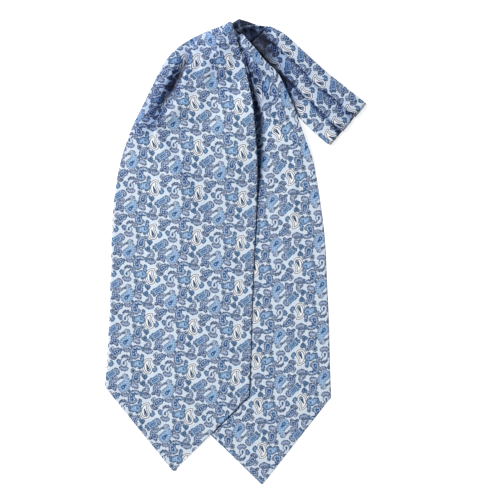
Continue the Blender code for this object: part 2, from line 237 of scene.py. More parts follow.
UNDER_SECTIONS = named_rows(Section, [
    (3.6, 215.4, 6.5, 217.2, 1.4, 1.4), (0, 206.5, 11, 211.8, 2.2, 2.2), (-6, 193.5, 20.4, 201.1, 2.3, 2.3),
    (-14, 176.5, 28.9, 190.4, 1.6, 2.3), (-23, 156.5, 41, 178.8, 0.9, 2), (-32, 133.5, 50, 161.5, 0.4, 1.7),
    (-40, 111.5, 56.4, 147.5, 0.1, 1.2), (-47.5, 86.5, 63, 130.5, 0, 0.5), (-52, 66.5, 69.6, 111.5, 0, 0.1),
    (-54.5, 48.5, 76.8, 91.5), (-56, 33.5, 80.9, 71.5), (-57, 20.5, 84, 51.5), (-56.5, -14.5, 88.9, 11.5),
    (-55, -48.5, 90.9, -28.5), (-54, -82.5, 92.8, -68.5), (-53, -120.5, 93.8, -108.5),
    (-51, -158.5, 95, -145.8),
])
UNDER_POINT = (26.2, -233.5)
BandSection = namedtuple("BandSection", "far_x far_y near_x near_y upper_fold middle_fold core_height")
BAND_SECTIONS = named_rows(BandSection, [
    (131.9, 146.4, 95.6, 105.5, 0.31, 0.655, 3.4), (113, 161.5, 81, 117.5, 0.31, 0.66, 3.4),
    (88, 181.5, 60, 138.5, 0.32, 0.64, 3.4), (66, 201.5, 39, 163, 0.31, 0.67, 3.2),
    (46, 219, 21, 185, 0.33, 0.69, 2.9), (33.5, 225.3, 10, 204, 0.36, 0.70, 2.7),
])
THROAT_SECTIONS = named_rows(BandSection, [
    (23.5, 226.6, 0.5, 214.5, 0, 0, 2.8), (12, 230.8, -5, 221.5, 0, 0, 3.2), (3.9, 233.2, -7.5, 226, 0, 0, 3.4),
])
TurnSection = namedtuple("TurnSection", "foot_x foot_y rim_x rim_y")
TURN_SECTIONS = named_rows(TurnSection, [
    (8.7, 205, -1.2, 217.4), (14.5, 209, 2.2, 219.6), (20, 213.7, 6.8, 222.6), (25, 218.5, 12.5, 224.5),
    (29.3, 222.7, 18.5, 224.9), (32.3, 225.3, 23.8, 225.1),
])
# The rise at the throat: its share of the way from the foot to the rim, and its share of the height
TURN_PROFILE = [
    (0, 0), (0.3, 0.04), (0.5, 0.18), (0.68, 0.48), (0.82, 0.8), (0.93, 0.97), (1, 1), (1.08, 0.86), (1.14, 0.62),
]

# The core: how it thins towards the throat at shares of the way along, how full its end rings are, and its
# section round the layered edge from below, as how many edge radii in and the share of the height
CORE_THINNING = ([0.68, 0.78, 0.9, 1], [1, 0.5, 0.4, 0.45])
CORE_ENDS = (0.5, 0.8, 0.95)
CORE_PROFILE = [
    (6, 0), (1, 0), (0.45, 0.05), (0.12, 0.18), (0, 0.32), (0.1, 0.45), (0.55, 0.5),
    (0.1, 0.55), (0, 0.68), (0.12, 0.82), (0.45, 0.95), (1, 1), (6, 1),
]

# Folds that lie over, from the throat down: the place of the folded edge, how far the cloth below it runs
# back, and how far it has turned over, in degrees
Fold = namedtuple("Fold", "x y hold turn")
FRONT_PLEAT = named_rows(Fold, [
    (-36, 216, 9, 180), (-45, 198.5, 13, 180), (-48, 189.5, 15, 180), (-54, 176.5, 13, 180),
    (-60, 164.5, 10.5, 180), (-64, 155.5, 8.5, 180), (-71, 146.5, 6.5, 175), (-76, 136.5, 4.4, 150),
    (-79.5, 127.5, 2.2, 90), (-82, 118, 1.2, 30), (-84, 106, 0.8, 0),
])
FRONT_CREASE = named_rows(Fold, [
    (-12, 220, 3, 150), (-18, 204, 3.6, 175), (-21.3, 192, 4.1, 180), (-21.6, 183, 3.4, 150),
    (-21.5, 176, 1.8, 70), (-21.2, 168, 0.9, 0),
])
# The under blade's standing fold, which lies over to the right beside the front blade's edge
UNDER_TUCK = named_rows(Fold, [
    (1.4, 217.3, 2, 150), (3.4, 206, 2.4, 180), (8.1, 197.2, 2.8, 180), (11.2, 187.8, 3, 180),
    (13.6, 172.7, 2.4, 170), (16.6, 158, 1.2, 110), (19, 145, 0.6, 40), (20, 130, 0.4, 0),
])

# Soft creases and swells: their lines, how high they stand (or how deep they sink, below 0) and how far they
# reach to the left and to the right, looking along the line
Crease = namedtuple("Crease", "x y rise left right")
FRONT_CREASES = creases(
    [(-48, 206, 0.3, 8, 14), (-56, 196, 1.4, 9, 18), (-61, 187, 2.6, 10, 22), (-68, 172, 3.3, 11, 24),
     (-76, 156, 3.2, 12, 24), (-85, 141, 2.4, 13, 22), (-95, 122, 1.2, 14, 20), (-103, 98, 0, 12, 14)],
    [(-38, 204, 0.4, 26, 8), (-42, 190, 1.6, 34, 8), (-48, 177, 2.8, 40, 8), (-54, 164, 3, 42, 8),
     (-59, 154, 2.8, 42, 8), (-66, 143, 2.4, 42, 9), (-73, 131, 1.8, 40, 12), (-80, 117, 0.8, 38, 12),
     (-84, 100, 0, 34, 12)],
    [(8, 204, 0, 6, 30), (12, 184, 0.6, 6, 34), (15, 166, 1.4, 6, 38), (18, 146, 2.3, 6, 44),
     (19, 124, 2.8, 6, 48), (20, 96, 2.2, 6, 48), (20, 74, 1, 6, 44), (20, 50, 0, 6, 34)],
    [(-86, 141, 0, 9, 9), (-66, 104, -0.6, 9, 10), (-44, 66, -0.6, 10, 10), (-21, 26, 0, 10, 10)],
    [(-30, 200, 0, 6, 8), (-30, 184, 0.8, 8, 8), (-34, 160, 0.7, 9, 9), (-40, 130, 0, 9, 9)],
    [(-96, 40, 0, 9, 12), (-84, 0, 0.35, 12, 14), (-80, -50, 0.45, 14, 14), (-84, -110, 0, 12, 12)],
    [(-20, -20, 0, 9, 9), (-30, -70, 0.35, 12, 12), (-26, -120, 0.3, 12, 12), (-40, -170, 0, 9, 9)],
)
UNDER_CREASES = creases(
    [(13, 172, 0, 10, 6), (18, 152, -2.2, 13, 6), (22, 130, -2.8, 14, 6), (25, 104, -2.6, 14, 6),
     (27, 84, -2, 14, 6), (27, 62, -1, 13, 6), (26, 40, -0.3, 11, 6), (26, 20, 0, 10, 6)],
    [(7.5, 209, 1, 4, 2.5), (13, 198, 1.5, 8, 3.5), (20, 186, 1.5, 12, 5), (27, 173, 1, 14, 7),
     (35, 158, 0.5, 14, 9), (44, 140, 0, 14, 9)],
    [(60, 120, 0, 8, 8), (60, 90, 0.7, 10, 10), (56, 50, 0.6, 10, 12), (60, 0, 0, 10, 10)],
    [(50, 60, 0, 8, 8), (44, 10, -0.5, 9, 9), (42, -40, 0, 8, 8)],
    [(66, -20, 0, 9, 9), (72, -70, 0.35, 10, 12), (66, -130, 0, 9, 9)],
)

# Painted shade: how far the cloth's colour is darkened in its deep folds, and more broadly over the front blade's
# top and along the neckband, where the shade falls: along each line, its share of the painted shade and how far
# that reaches to the left and to the right of the way down
FRONT_PAINTED_SHADE = creases(
    [(-46, 196, 0.35, 4, 8), (-50, 187, 0.6, 4, 12), (-57, 173, 0.85, 5, 15), (-63, 162, 0.85, 7, 18),
     (-71, 150, 0.7, 9, 19), (-79, 138, 0.5, 11, 19), (-87, 126, 0.3, 12, 18), (-94, 108, 0, 12, 16)],
    [(-20, 198, 0, 2, 4), (-21.5, 188, 0.35, 2, 5), (-22, 172, 0, 2, 5)],
    [(-86, 141, 0, 6, 6), (-66, 104, 0.14, 8, 8), (-44, 66, 0.14, 8, 8), (-21, 26, 0, 8, 8)],
    [(-112, 96, 0, 30, 30), (-98, 140, 0.2, 30, 34), (-78, 176, 0.25, 30, 44), (-50, 204, 0.22, 30, 58),
     (-20, 214, 0.22, 30, 64), (8, 214, 0.2, 30, 64)],
    [(-14, 176, 0, 14, 14), (-8, 158, 0.14, 16, 16), (-4, 138, 0, 14, 14)],
)
UNDER_PAINTED_SHADE = creases(
    [(2, 212, 0.5, 4, 4), (8, 190, 0.65, 8, 4), (12, 176, 0.6, 20, 6), (17, 152, 0.55, 16, 6),
     (19, 124, 0.45, 13, 6), (21, 92, 0.45, 13, 6), (21, 68, 0.35, 11, 6), (20, 45, 0.25, 9, 6),
     (19, 10, 0, 8, 6)],
    [(18, 176, 0.1, 6, 4), (27, 160, 0.3, 9, 4), (36, 144, 0, 8, 5)],
    [(5, 213, 0.14, 16, 16), (24, 182, 0.16, 22, 22), (40, 150, 0.1, 24, 24), (46, 118, 0, 24, 24)],
)
BAND_PAINTED_SHADE = creases(
    [(2, 220, 0.8, 18, 6), (10, 212, 1, 22, 10), (20, 202, 1, 26, 10), (29, 191, 0.8, 26, 8),
     (41, 178.5, 0.65, 20, 8), (50, 165, 0.6, 16, 8), (58, 150, 0.5, 13, 8), (62, 136, 0, 10, 8)],
    [(-6, 231, 0.8, 10, 8), (8, 224, 0.6, 12, 8), (18, 216, 0.5, 16, 12), (30, 204, 0.3, 18, 12),
     (44, 190, 0, 14, 8)],
    [(34, 227, 0.2, 9, 5), (24, 217, 0.5, 12, 6), (14, 208, 0.7, 14, 6), (8, 203, 0.4, 11, 6)],
    [(36, 212, 0.1, 30, 30), (76, 172, 0.14, 30, 30), (106, 136, 0.16, 30, 30), (118, 122, 0.2, 30, 30)],
)

# Where the white cones of the print lie down each blade, one repeat apart
Anchor = namedtuple("Anchor", "x y")
FRONT_REPEATS = named_rows(Anchor, [
    (-20, 232.5), (-8, 187.7), (2, 143.1), (7, 97), (6.8, 50.5), (4.3, 7.1), (2.9, -37.7), (1.4, -82.5),
    (0, -127.3), (-1.4, -172.1), (-2.8, -216.9),
])
UNDER_REPEATS = named_rows(Anchor, [
    (-4, 193), (21, 156.8), (42, 120), (54.4, 75), (57.8, 32.1), (60.5, -12.5), (63, -58.4), (64.9, -104.3),
    (65.8, -149.1), (66.5, -194), (67.5, -239),
])

# How steeply the weft of each blade rises to the right and to the left of the cones, at Y
Tilt = namedtuple("Tilt", "y right left")
FRONT_TILTS = named_rows(Tilt, [(200, 0, 0), (143, -0.05, -0.09), (97, -0.03, -0.13), (-250, -0.03, -0.13)])
UNDER_TILTS = named_rows(Tilt, [
    (210, 0.93, 0.93), (180, 0.8, 0.8), (160, 0.65, 0.65), (136, 0.53, 0.53), (96, 0.25, 0.25), (51, 0.1, 0.1),
    (0, 0.09, 0.09), (-250, 0.09, 0.09),
])


def through(sections, stations):
    """Rows through the sections on one smooth curve, at shares of the way along the middle of the cloth."""
    table = np.array(sections, float)
    middle = (table[:, 0:2] + table[:, 2:4]) / 2
    at = np.concatenate([[0], np.cumsum(np.linalg.norm(np.diff(middle, axis=0), axis=1))])
    slope = np.gradient(table, at, axis=0)
    wanted = np.asarray(stations) * at[-1]
    low = np.clip(np.searchsorted(at, wanted, side="right") - 1, 0, len(at) - 2)
    span = (at[low + 1] - at[low])[:, None]
    t = (wanted - at[low])[:, None] / span
    value = table[low] * (1 + 2 * t) * (1 - t) ** 2 + table[low + 1] * t * t * (3 - 2 * t)
    return value + span * (slope[low] * t * (1 - t) ** 2 - slope[low + 1] * t * t * (1 - t))


def length_of(sections):
    """The length of the cloth along its middle."""
    table = np.array(sections, float)
    return np.linalg.norm(np.diff((table[:, 0:2] + table[:, 2:4]) / 2, axis=0), axis=1).sum()


def pointed(rows, point, count):
    """The rows with a pointed end added, which narrows straight to the point."""
    last = rows[-1]
    width = np.linalg.norm(last[2:4] - last[0:2])
    end = last.copy()
    end[0:4] = np.concatenate([point, point]) + (last[0:4] - np.tile(point, 2)) * TIP_WIDTH / width
    steps = np.linspace(0, 1, count + 1)[1:, None]
    return np.concatenate([rows, last + (end - last) * steps])


def across(rows, shares):
    """A grid of plan points: one row for each section, one column for each share of the width."""
    shares = np.broadcast_to(shares, (len(rows), np.shape(shares)[-1]))[..., None]
    return rows[:, None, 0:2] * (1 - shares) + rows[:, None, 2:4] * shares


def outline(rows):
    """The closed outline of the cloth that these rows hold."""
    return np.concatenate([rows[:, 0:2], rows[::-1, 2:4]])


def distance(points, line, closed=True):
    """How far each point is from a line of plan points, and the share of the way along it."""
    ends = np.roll(line, -1, axis=0) if closed else line[1:]
    starts = line if closed else line[:-1]
    run = ends - starts
    flat = points.reshape(-1, 2)
    best, along = np.full(len(flat), np.inf), np.zeros(len(flat))
    for i, (start, way) in enumerate(zip(starts, run)):
        t = np.clip((flat - start) @ way / (way @ way), 0, 1)
        gap = np.linalg.norm(flat - start - t[:, None] * way, axis=1)
        closer = gap < best
        best[closer], along[closer] = gap[closer], (i + t[closer]) / len(starts)
    return best.reshape(points.shape[:-1]), along.reshape(points.shape[:-1])


def inside(points, line):
    """Which points lie inside a closed outline, by counting the edges to their right."""
    x, y = points[..., 0], points[..., 1]
    crossings = np.zeros(x.shape, int)
    for (x1, y1), (x2, y2) in zip(line, np.roll(line, -1, axis=0)):
        if y1 != y2:
            crossings += ((y1 > y) != (y2 > y)) & (x < x1 + (y - y1) / (y2 - y1) * (x2 - x1))
    return crossings % 2 == 1


def soft(t):
    """1 at t = 0, falling smoothly to 0 at t = 1."""
    t = np.clip(t, 0, 1)
    return 1 - t * t * (3 - 2 * t)


def cover(points, rows, reach):
    """1 over the cloth that these rows hold, falling to 0 over a distance of reach outside it."""
    line = outline(rows)
    gap = np.where(inside(points, line), 0.0, distance(points, line)[0])
    return soft((gap - MARGIN) / reach)


def highest(*heights):
    """A smooth upper envelope, never below the highest of the heights."""
    return (np.maximum(heights, 0) ** ENVELOPE_POWER).sum(0) ** (1 / ENVELOPE_POWER)


def height_over(points, surface):
    """The height of a surface above plan points, as a mean of its corners that favours the near ones."""
    corners = surface.reshape(-1, 3)
    flat = points.reshape(-1, 2)
    heights = np.empty(len(flat))
    for at in range(0, len(flat), POINTS_AT_ONCE):
        part = flat[at : at + POINTS_AT_ONCE]
        away = ((part[:, None, :] - corners[:, 0:2]) ** 2).sum(-1)
        away -= away.min(-1, keepdims=True)
        weight = np.exp(-away / (2 * NEAR**2))
        heights[at : at + POINTS_AT_ONCE] = (weight * corners[:, 2]).sum(-1) / weight.sum(-1)
    return heights.reshape(points.shape[:-1])


def relief(points, creases):
    """How far the soft creases and swells lift each plan point."""
    total = np.zeros(points.shape[:-1])
    for line in creases:
        table = np.array(line, float)
        away, along = distance(points, table[:, 0:2], closed=False)
        at = along * (len(table) - 1)
        index = np.clip(at.astype(int), 0, len(table) - 2)
        way = (table[1:, 0:2] - table[:-1, 0:2])[index]
        offset = points - table[index, 0:2]
        to_left = way[..., 0] * offset[..., 1] - way[..., 1] * offset[..., 0] > 0
        rise, left, right = (np.interp(at, np.arange(len(table)), table[:, i]) for i in (2, 3, 4))
        total += rise * soft(away / np.where(to_left, left, right))
    return total


def widths(rows):
    """How wide the cloth is along each row."""
    return np.linalg.norm(rows[:, 2:4] - rows[:, 0:2], axis=1)


def at_height(plan, heights):
    """Plan points and their heights as places."""
    return np.concatenate([plan, heights[..., None]], axis=-1)


def crossing(rows, fold):
    """Where each row crosses a fold's line, as a share of the row's width, with the fold's own values there."""
    line = np.array(fold, float)[::-1]
    plan = across(rows, np.linspace(0, 1, CROSSING_STEPS + 1))
    beside = plan[..., 0] - np.interp(plan[..., 1], line[:, 1], line[:, 0])
    at = (beside < 0).sum(1) / CROSSING_STEPS
    at[LAST_ROW:] = at[LAST_ROW]
    window = np.ones(2 * CROSSING_REACH + 1)
    share = np.convolve(np.pad(at, CROSSING_REACH, mode="edge"), window / len(window), mode="valid")
    place = rows[:, 0:2] * (1 - share[:, None]) + rows[:, 2:4] * share[:, None]
    hold = np.interp(place[:, 1], line[:, 1], line[:, 2])
    turn = np.radians(np.interp(place[:, 1], line[:, 1], line[:, 3]))
    return share, np.minimum(hold, HOLD_SHARE * widths(rows)), np.maximum(turn, LEAST_TURN)


def bent(radius, hold, turn):
    """A fold's own section: round one bend, back along the held part and round the other bend.

    Gives places across, heights and lengths of cloth, one line for each row.
    """
    radius = np.maximum(radius, LEAST_BEND / turn)[:, None]
    arc = radius * turn[:, None]
    t = np.linspace(0, 1, BEND_STEPS)
    first = turn[:, None] * t
    x1, z1 = radius * np.sin(first), radius * (1 - np.cos(first))
    held = hold[:, None] * t[1:]
    x2 = x1[:, -1:] + held * np.cos(turn[:, None])
    z2 = z1[:, -1:] + held * np.sin(turn[:, None])
    second = turn[:, None] * (1 - t[1:])
    x3 = x2[:, -1:] + radius * (np.sin(turn[:, None]) - np.sin(second))
    z3 = z2[:, -1:] + radius * (np.cos(second) - np.cos(turn[:, None]))
    s = np.concatenate([arc * t, arc + held, arc + hold[:, None] + arc * t[1:]], axis=1)
    return np.concatenate([x1, x2, x3], axis=1), np.concatenate([z1, z2, z3], axis=1), s


def fold_rise(radius, hold, turn):
    """How far a fold lifts the cloth that lies on top."""
    return (2 * radius * (1 - np.cos(turn)) + hold * np.sin(turn))[:, None]


def section_lines(rows, folds, counts, radius):
    """The cloth's section along each row, with its folds laid over: places across the row in millimetres,
    heights of the folds and lengths of cloth from the left edge. Folds run from left to right. A fold with its
    sign at 1 has its right side on top, and at -1 its left side.
    """
    width = widths(rows)
    places, heights, lengths = [], [], []
    at, level, run = 0 * width, 0 * width, 0 * width
    for (share, hold, turn, sign), count in zip(folds, counts):
        fx, fz, fs = bent(radius, hold, turn)
        lip = share * width
        start = lip - fx.min(1) if sign > 0 else lip - fx.max(1)
        start = np.maximum(start, at + LEAST_STEP * width)
        t = np.linspace(0, 1, count, endpoint=False)[1 if places else 0 :]
        places.append(at[:, None] + (start - at)[:, None] * t)
        heights.append(level[:, None] + 0 * places[-1])
        lengths.append(run[:, None] + (start - at)[:, None] * t)
        places.append(start[:, None] + fx)
        heights.append(level[:, None] + sign * fz)
        run = run + start - at
        lengths.append(run[:, None] + fs)
        at, level, run = places[-1][:, -1], heights[-1][:, -1], lengths[-1][:, -1]
    t = np.linspace(0, 1, counts[-1] + 1)[1:]
    end = width - at
    places.append(at[:, None] + end[:, None] * t)
    heights.append(level[:, None] + 0 * places[-1])
    lengths.append(run[:, None] + end[:, None] * t)
    return np.concatenate(places, axis=1), np.concatenate(heights, axis=1), np.concatenate(lengths, axis=1)


def added(name, data, location=(0, 0, 0)):
    """A new object in the scene."""
    made = bpy.data.objects.new(name, data)
    made.location = location
    bpy.context.scene.collection.objects.link(made)
    return made


def face_outwards(mesh):
    """Turns every face of a closed mesh outwards."""
    form = bmesh.new()
    form.from_mesh(mesh)
    bmesh.ops.recalc_face_normals(form, faces=form.faces)
    inside_out = form.calc_volume(signed=True) < 0
    form.to_mesh(mesh)
    form.free()
    if inside_out:
        mesh.flip_normals()


def cloth_piece(name, corners, faces, print_at, painted_shade_amount):
    """One closed piece, with its print's own map and the shade painted into its colour at each corner, by how deep
    it lies in a fold.
    """
    mesh = bpy.data.meshes.new(name)
    mesh.from_pydata((corners * MM).tolist(), [], faces)
    mesh.update()
    face_outwards(mesh)
    layer = mesh.uv_layers.new(name="print")
    loops = np.empty(len(mesh.loops), int)
    mesh.loops.foreach_get("vertex_index", loops)
    layer.data.foreach_set("uv", print_at[loops].ravel())
    depth = mesh.attributes.new("hollow", "FLOAT", "POINT")
    depth.data.foreach_set("value", np.clip(painted_shade_amount, 0, DEEPEST_PAINTED_SHADE).astype(np.float32))
    mesh.shade_smooth()
    return added(name, mesh)


def shell(name, surface, print_at, ply, painted_shade_amount):
    """A sheet of cloth on a grid of places down its middle, thinner at its edges."""
    rows, columns = surface.shape[:2]
    normal = np.cross(np.gradient(surface, axis=0), np.gradient(surface, axis=1))
    normal /= np.linalg.norm(normal, axis=-1, keepdims=True)
    if normal[..., 2].mean() < 0:
        normal = -normal
    half = np.full((rows, columns), ply / 2)
    for i, share in enumerate(EDGE_SHARES):
        ring = half[i : rows - i, i : columns - i]
        ring[0, :] = ring[-1, :] = ring[:, 0] = ring[:, -1] = ply * share
    top = (surface + normal * half[..., None]).reshape(-1, 3)
    bottom = (surface - normal * half[..., None]).reshape(-1, 3)
    index = np.arange(rows * columns).reshape(rows, columns)
    quads = np.stack([index[:-1, :-1], index[1:, :-1], index[1:, 1:], index[:-1, 1:]], axis=-1).reshape(-1, 4)
    a, b, c = top[quads[0, :3]]
    if np.cross(b - a, c - a) @ normal[0, 0] < 0:
        quads = quads[:, ::-1]
    below = quads[:, ::-1] + rows * columns
    around = np.concatenate([index[0, :], index[1:, -1], index[-1, -2::-1], index[-2:0:-1, 0]])
    after = np.roll(around, -1)
    rim = np.stack([around, after, after + rows * columns, around + rows * columns], axis=-1)
    faces = np.concatenate([quads, below, rim]).tolist()
    both = np.tile(print_at.reshape(-1, 2), (2, 1))
    return cloth_piece(name, np.concatenate([top, bottom]), faces, both, np.tile(painted_shade_amount.ravel(), 2))


def core_rows(stations):
    """The core's rows: the pleats' own, drawn in at the far edge and let out at the near one."""
    rows = through(BAND_SECTIONS + THROAT_SECTIONS, stations)
    run = (rows[:, 2:4] - rows[:, 0:2]) / widths(rows)[:, None]
    rows[:, 0:2] += run * CORE_INSET
    rows[:, 2:4] += run * CORE_SHOW
    return rows


def lifted(rows, shares):
    """How far the cloth stands up by itself, from its left edge to its right one."""
    rounding = 1 - (1 - np.asarray(shares)) ** PUFF
    return rows[:, 4, None] * (1 - rounding) + rows[:, 5, None] * rounding


def turn_surface(rows_count, columns):
    """The rounded stretch where the pleats rise and turn over at the throat."""
    table = np.array(TURN_SECTIONS, float)
    at = np.linspace(0, len(table) - 1, rows_count)
    rows = np.stack([np.interp(at, np.arange(len(table)), table[:, i]) for i in range(4)], axis=-1)
    profile = np.array(TURN_PROFILE)
    way = np.interp(np.linspace(0, len(profile) - 1, columns), np.arange(len(profile)), profile[:, 0])
    rise = np.tile(np.interp(way, profile[:, 0], profile[:, 1]), (len(rows), 1))
    heights = THROAT_SECTIONS[0].core_height + GAP + TURN_RISE * rise - TURN_SINK * (1 - rise)
    return at_height(across(rows, way), heights)


def under_heights(plan, rows, shares):
    """The underside of the under blade over the neckband and the floor."""
    return cover(plan, core_rows(COARSE_STATIONS), RAMP) * BLADE_OVER_BAND + lifted(rows, shares)


def carried(plan):
    """How high the layers below carry the front blade at each plan point."""
    rows = rows_of(UNDER_SECTIONS, UNDER_POINT, COARSE_ROWS, COARSE_POINT_ROWS)
    shares = np.linspace(0, 1, COARSE_COLUMNS)
    under_plan = across(rows, shares)
    under = at_height(under_plan, under_heights(under_plan, rows, shares))
    turn = turn_surface(*COARSE_TURN)
    turn_rows = np.concatenate([turn[:, 0, 0:2], turn[:, -1, 0:2]], axis=1)
    above_under = cover(plan, rows, STEP) * (height_over(plan, under) + WALL + GAP)
    above_turn = cover(plan, turn_rows, TURN_STEP) * (turn[..., 2].max() + WALL + GAP)
    above_core = cover(plan, core_rows(COARSE_STATIONS), CORE_STEP) * (THROAT_SECTIONS[-1].core_height + GAP)
    return highest(above_under, above_turn, above_core)


def rows_of(sections, point, count, point_count):
    """A blade's rows, with those of its pointed end."""
    return pointed(through(sections, np.linspace(0, 1, count)), point, point_count)


def resting(plan, heights, ply):
    """The cloth's middle at these heights, kept clear of the surface it lies on."""
    return at_height(plan, np.maximum(heights, FLOOR_CLEAR) + ply / 2)


def print_across(rows, lengths, offset):
    """How far across the repeat each point lies, counted from the blade's right edge."""
    inward = rows[:, 2:4] - rows[LAST_ROW, 2:4]
    way = (rows[LAST_ROW, 2:4] - rows[LAST_ROW, 0:2]) / widths(rows)[LAST_ROW]
    shift = np.where(np.arange(len(rows)) > LAST_ROW, inward @ way, 0)
    return lengths - lengths[:, -1:] + shift[:, None] + offset


def print_down(plan, repeats, tilts):
    """How far along the repeat each plan point lies."""
    line = np.array(repeats, float)[::-1]
    table = np.array(tilts, float)[::-1]
    x, y = plan[..., 0], plan[..., 1]
    column = np.interp(y, line[:, 1], line[:, 0])
    right, left = (np.interp(y, table[:, 0], table[:, i]) for i in (1, 2))
    aside = x - column
    level = y - right * np.maximum(aside, 0) - left * np.minimum(aside, 0)
    at = np.arange(len(line)) * REPEAT
    beyond = np.maximum(level - line[-1, 1], 0) + np.minimum(level - line[0, 1], 0)
    return np.interp(level, line[:, 1], at) + beyond


def print_on_band(plan, offset):
    """The print's place on the neckband, which lies at a slant."""
    x, y = plan[..., 0], plan[..., 1]
    return np.stack([SLANT_COS * x + SLANT_SIN * y, SLANT_COS * y - SLANT_SIN * x], axis=-1) - offset


def build_front():
    cut = bpy.context.scene.cravat_cut
    ply, radius = cut.ply / MM, cut.fold_radius / MM
    rows = rows_of(FRONT_SECTIONS, FRONT_POINT, BLADE_ROWS, POINT_ROWS)
    width = widths(rows)[:, None]
    folds = [(*crossing(rows, fold), 1) for fold in (FRONT_PLEAT, FRONT_CREASE)]
    places, heights, lengths = section_lines(rows, folds, FRONT_COLUMNS, radius)
    shares = places / width
    plan = across(rows, shares)
    calm = np.interp(rows[:, 3], *FRONT_CALM)[:, None]
    base = carried(plan) + lifted(rows, np.clip(shares, 0, 1)) * calm + relief(plan, FRONT_CREASES)
    # The folds' own height fades away to the right of what they hide.
    for share, hold, turn, _ in folds:
        rise = fold_rise(radius, hold, turn)
        past = (shares - share[:, None]) * width - hold[:, None]
        heights -= rise * (1 - soft(past / FOLD_FADE)) * (heights > 0.5 * rise)
    # Each fold's edge stands clear of the cloth beside it.
    first = BEND_STEPS - 1
    for (share, hold, turn, _), columns, stand in zip(folds, FRONT_COLUMNS, (PLEAT_STAND, CREASE_STAND)):
        first += columns
        past = (shares - share[:, None]) * width
        up = stand * np.interp(rows[:, 3], *FRONT_STAND) * soft((math.pi - turn) / STAND_OPENING)
        up = up[:, None] * soft(past / np.maximum(hold, LEAST_HOLD)[:, None])
        heights[:, first:] += up[:, first:]
        first += 3 * (BEND_STEPS - 1)
    # The free edge droops onto the cloth below it.
    droop = np.interp(rows[:, 3], *FRONT_DROOP)[:, None]
    base = base - droop * soft((1 - shares) * width / DROOP_REACH)
    u = print_across(rows, lengths, FRONT_PRINT_EDGE)
    v = print_down(plan, FRONT_REPEATS, FRONT_TILTS)
    surface = resting(plan, base + heights, ply)
    # The last argument is the shade painted into the colour in the blade's deep folds and over its top.
    return shell("front_blade", surface, np.stack([u, v], axis=-1), ply, relief(plan, FRONT_PAINTED_SHADE))


def build_under():
    cut = bpy.context.scene.cravat_cut
    ply, radius = cut.ply / MM, cut.fold_radius / MM
    rows = rows_of(UNDER_SECTIONS, UNDER_POINT, BLADE_ROWS, POINT_ROWS)
    width = widths(rows)[:, None]
    share, hold, turn = crossing(rows, UNDER_TUCK)
    places, heights, lengths = section_lines(rows, [(share, hold, turn, -1)], UNDER_COLUMNS, radius)
    shares = places / width
    plan = across(rows, shares)
    # The cloth to the left of the standing fold swells, and the rest has the creases and the raised lip.
    rise = fold_rise(radius, hold, turn)
    past = (shares - share[:, None]) * width
    left_part = heights > -0.5 * rise
    heights += rise * np.where(left_part, TUCK_SWELL * soft(np.abs(past + TUCK_PAST) / TUCK_REACH), 1)
    lip = LIP_STAND * np.interp(rows[:, 3], *UNDER_LIP)[:, None] * soft((1 - shares) * width / LIP_REACH)
    base = under_heights(plan, rows, np.clip(shares, 0, 1))
    base = base + (relief(plan, UNDER_CREASES) + lip) * ~left_part
    u = print_across(rows, lengths, np.interp(rows[:, 3], *UNDER_PRINT_EDGE)[:, None])
    v = print_down(plan, UNDER_REPEATS, UNDER_TILTS)
    surface = resting(plan, base + heights, ply)
    # The last argument is the shade painted into the colour beside the front blade's edge and in the standing
    # fold.
    return shell("under_blade", surface, np.stack([-u, -v], axis=-1), ply, relief(plan, UNDER_PAINTED_SHADE))


